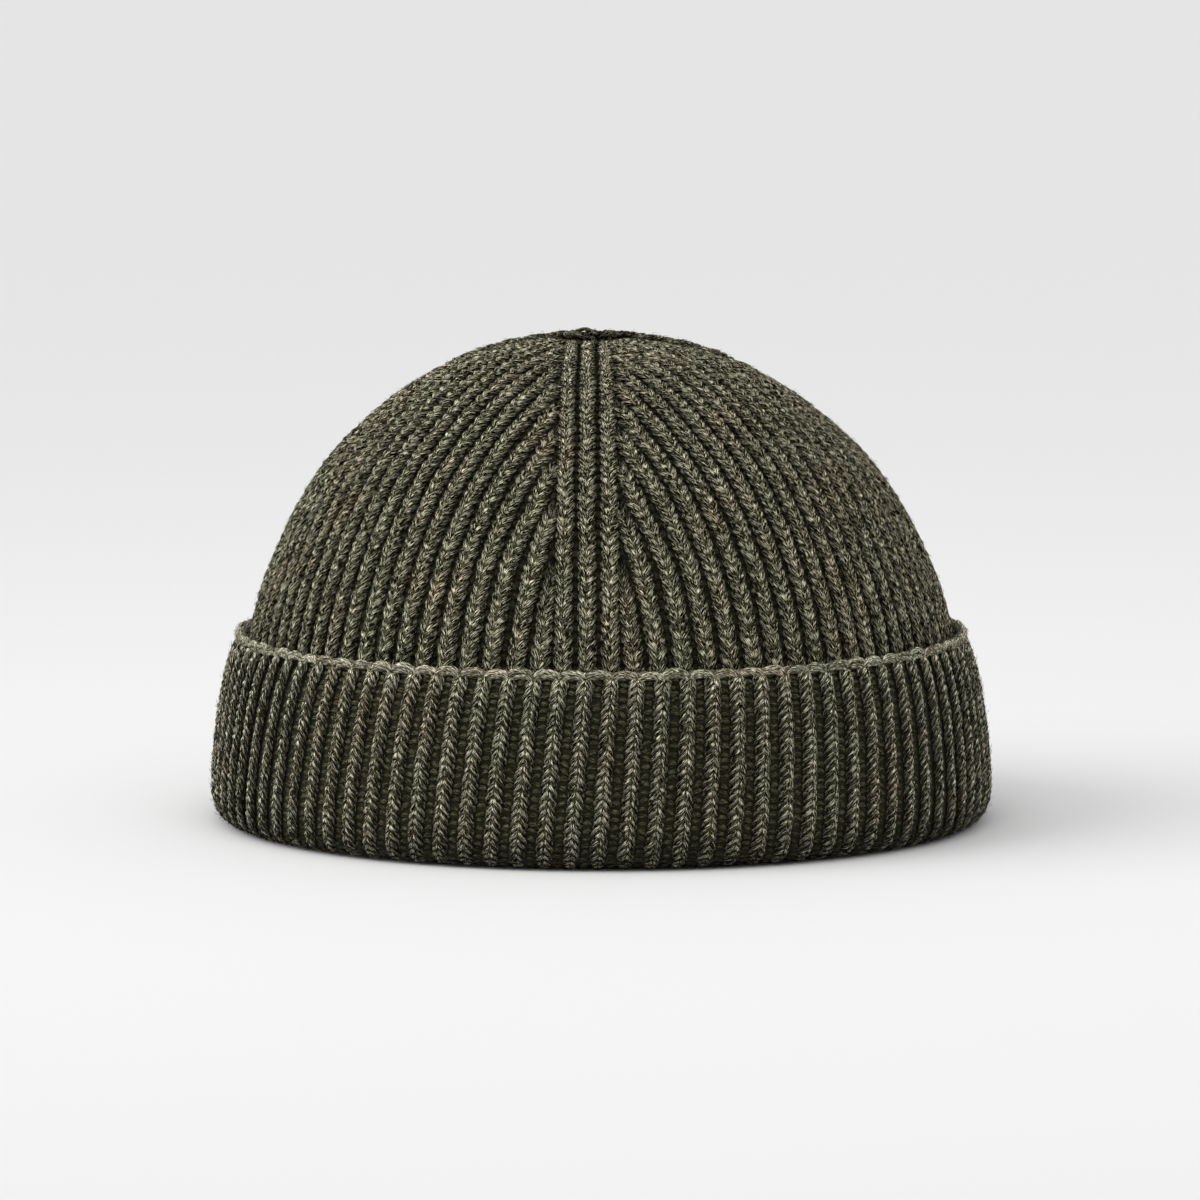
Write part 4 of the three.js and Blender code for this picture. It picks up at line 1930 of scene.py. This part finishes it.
@dataclass
class Studio:
    """Floor, lights and camera at the photograph's angle.

    Args:
        elevation: Height angle of the camera in degrees.
        distance: Distance from the aim in metres.
        frame_width: Width of the view at the aim in metres.
        aim: Point in the middle of the view in metres.
        surround: Strength of the even light from all round.
        floor_reach: Half the floor's width in metres.
    """

    elevation: float = 6.5
    distance: float = 1.8
    frame_width: float = 0.276
    aim: tuple[float, float, float] = (-0.0003, 0.0, 0.0502)
    surround: float = 0.56
    floor_reach: float = 9.0

    def build(self) -> None:
        """Sets up the studio."""
        self._floor()
        self._camera()
        self._world()
        self._sun("key", (-1.5, -0.4, 0.95), 52.0, 1.5)
        self._sun("fill", (0.2, -1.0, 1.4), 60.0, 0.45)
        self._area("overhead", (-0.1, -0.1, 0.75), 0.6, 1.25)

    def _floor(self) -> None:
        """Lays the floor."""
        reach = self.floor_reach
        corners = [(-reach, -reach, 0.0), (reach, -reach, 0.0), (reach, reach, 0.0),
                   (-reach, reach, 0.0)]
        mesh = bpy.data.meshes.new("studio_floor")
        mesh.from_pydata(corners, [], [(0, 1, 2, 3)])
        mesh.materials.append(FloorFinish().build())
        floor = bpy.data.objects.new("studio_floor", mesh)
        bpy.context.scene.collection.objects.link(floor)

    def _camera(self) -> None:
        """Places the camera."""
        data = bpy.data.cameras.new("photo_camera")
        data.lens = data.sensor_width * self.distance / self.frame_width
        data.clip_end = 60.0
        camera = bpy.data.objects.new("photo_camera", data)
        tilt = math.radians(self.elevation)
        away = Vector((0.0, -math.cos(tilt), math.sin(tilt)))
        camera.location = Vector(self.aim) + away * self.distance
        camera.rotation_euler = (-away).to_track_quat("-Z", "Y").to_euler()
        bpy.context.scene.collection.objects.link(camera)
        bpy.context.scene.camera = camera

    def _world(self) -> None:
        """Sets the even grey surround."""
        world = bpy.data.worlds.new("studio")
        world.use_nodes = True
        surround = world.node_tree.nodes["Background"]
        surround.inputs["Color"].default_value = (1.0, 1.0, 1.0, 1.0)
        surround.inputs["Strength"].default_value = self.surround
        bpy.context.scene.world = world
        bpy.context.scene.view_settings.view_transform = "Standard"

    def _sun(self, name: str, place: tuple[float, float, float], spread: float,
             strength: float) -> None:
        """Sets a broad light from afar.

        Args:
            name: The light's name.
            place: A point that it shines from, towards the origin.
            spread: Its width as an angle in degrees.
            strength: Its strength in watts per square metre.
        """
        data = bpy.data.lights.new(name, "SUN")
        data.energy = strength
        data.angle = math.radians(spread)
        light = bpy.data.objects.new(name, data)
        light.rotation_euler = (-Vector(place)).to_track_quat("-Z", "Y").to_euler()
        bpy.context.scene.collection.objects.link(light)

    def _area(self, name: str, place: tuple[float, float, float], size: float,
              power: float) -> None:
        """Hangs a soft square light that faces the cap.

        Args:
            name: The light's name.
            place: Where it hangs in metres.
            size: Its width in metres.
            power: Its power in watts.
        """
        data = bpy.data.lights.new(name, "AREA")
        data.energy = power
        data.size = size
        light = bpy.data.objects.new(name, data)
        light.location = place
        facing = Vector(self.aim) - Vector(place)
        light.rotation_euler = facing.to_track_quat("-Z", "Y").to_euler()
        bpy.context.scene.collection.objects.link(light)


def dye() -> Dyed:
    """Mixes the cap's finishes.

    Returns:
        The finishes.
    """
    return Dyed(
        crown=YarnFinish("crown_yarn", (0.004, 0.0032, 0.0004), (0.0305, 0.0276, 0.0098),
                         (0.96, 0.925, 0.66), body_at=0.556).build(),
        cuff=YarnFinish("cuff_yarn", (0.005, 0.0042, 0.0008), (0.064, 0.0598, 0.0255),
                        (1.0, 0.97, 0.74), body_at=0.537).build(),
        # Paler than the cuff's yarn: partly paler yarn at the edge, partly painted light from
        # above.
        edge=YarnFinish("edge_yarn", (0.040, 0.037, 0.017), (0.22, 0.212, 0.138),
                        (0.95, 0.925, 0.73)).build(),
        tie=YarnFinish("tie_yarn", (0.006, 0.0055, 0.002), (0.03, 0.028, 0.013),
                       (0.30, 0.29, 0.19)).build(),
        # A darker copy of the yarn: painted shade for the strands down in the furrows and under the
        # ribs.
        furrow=YarnFinish("shaded_furrow_yarn", (0.015, 0.0142, 0.0055), (0.046, 0.0440, 0.0205),
                          (0.17, 0.165, 0.105)).build(),
        fibre=YarnFinish("loose_fibre", (0.04, 0.037, 0.018), (0.185, 0.176, 0.108),
                         (0.55, 0.53, 0.37)).build(),
        # The backing's dark colours are painted shade at the bottom of the furrows and inside the
        # cap.
        backing=BackingFinish("backing_knit", (0.008, 0.008, 0.0025),
                              (0.042, 0.041, 0.019)).build())


def main() -> None:
    """Builds the cap and the studio in order and reports each piece."""
    logging.basicConfig(level=logging.INFO, format="%(name)s %(message)s")
    layout = KnitLayout()
    dyed = dye()
    fuzz = Fuzz(share=2.5)
    pieces = Crown(layout).build(dyed, fuzz)
    pieces += Cuff(layout).build(dyed, fuzz)
    pieces += CastOnEdge(layout).build(dyed.edge, Fuzz(share=12.0, stray=0.8), dyed.fibre)
    pieces += ClosureTie().build(dyed.tie)
    for piece in pieces:
        piece.settle()
    Studio().build()


if __name__ == "__main__":
    main()
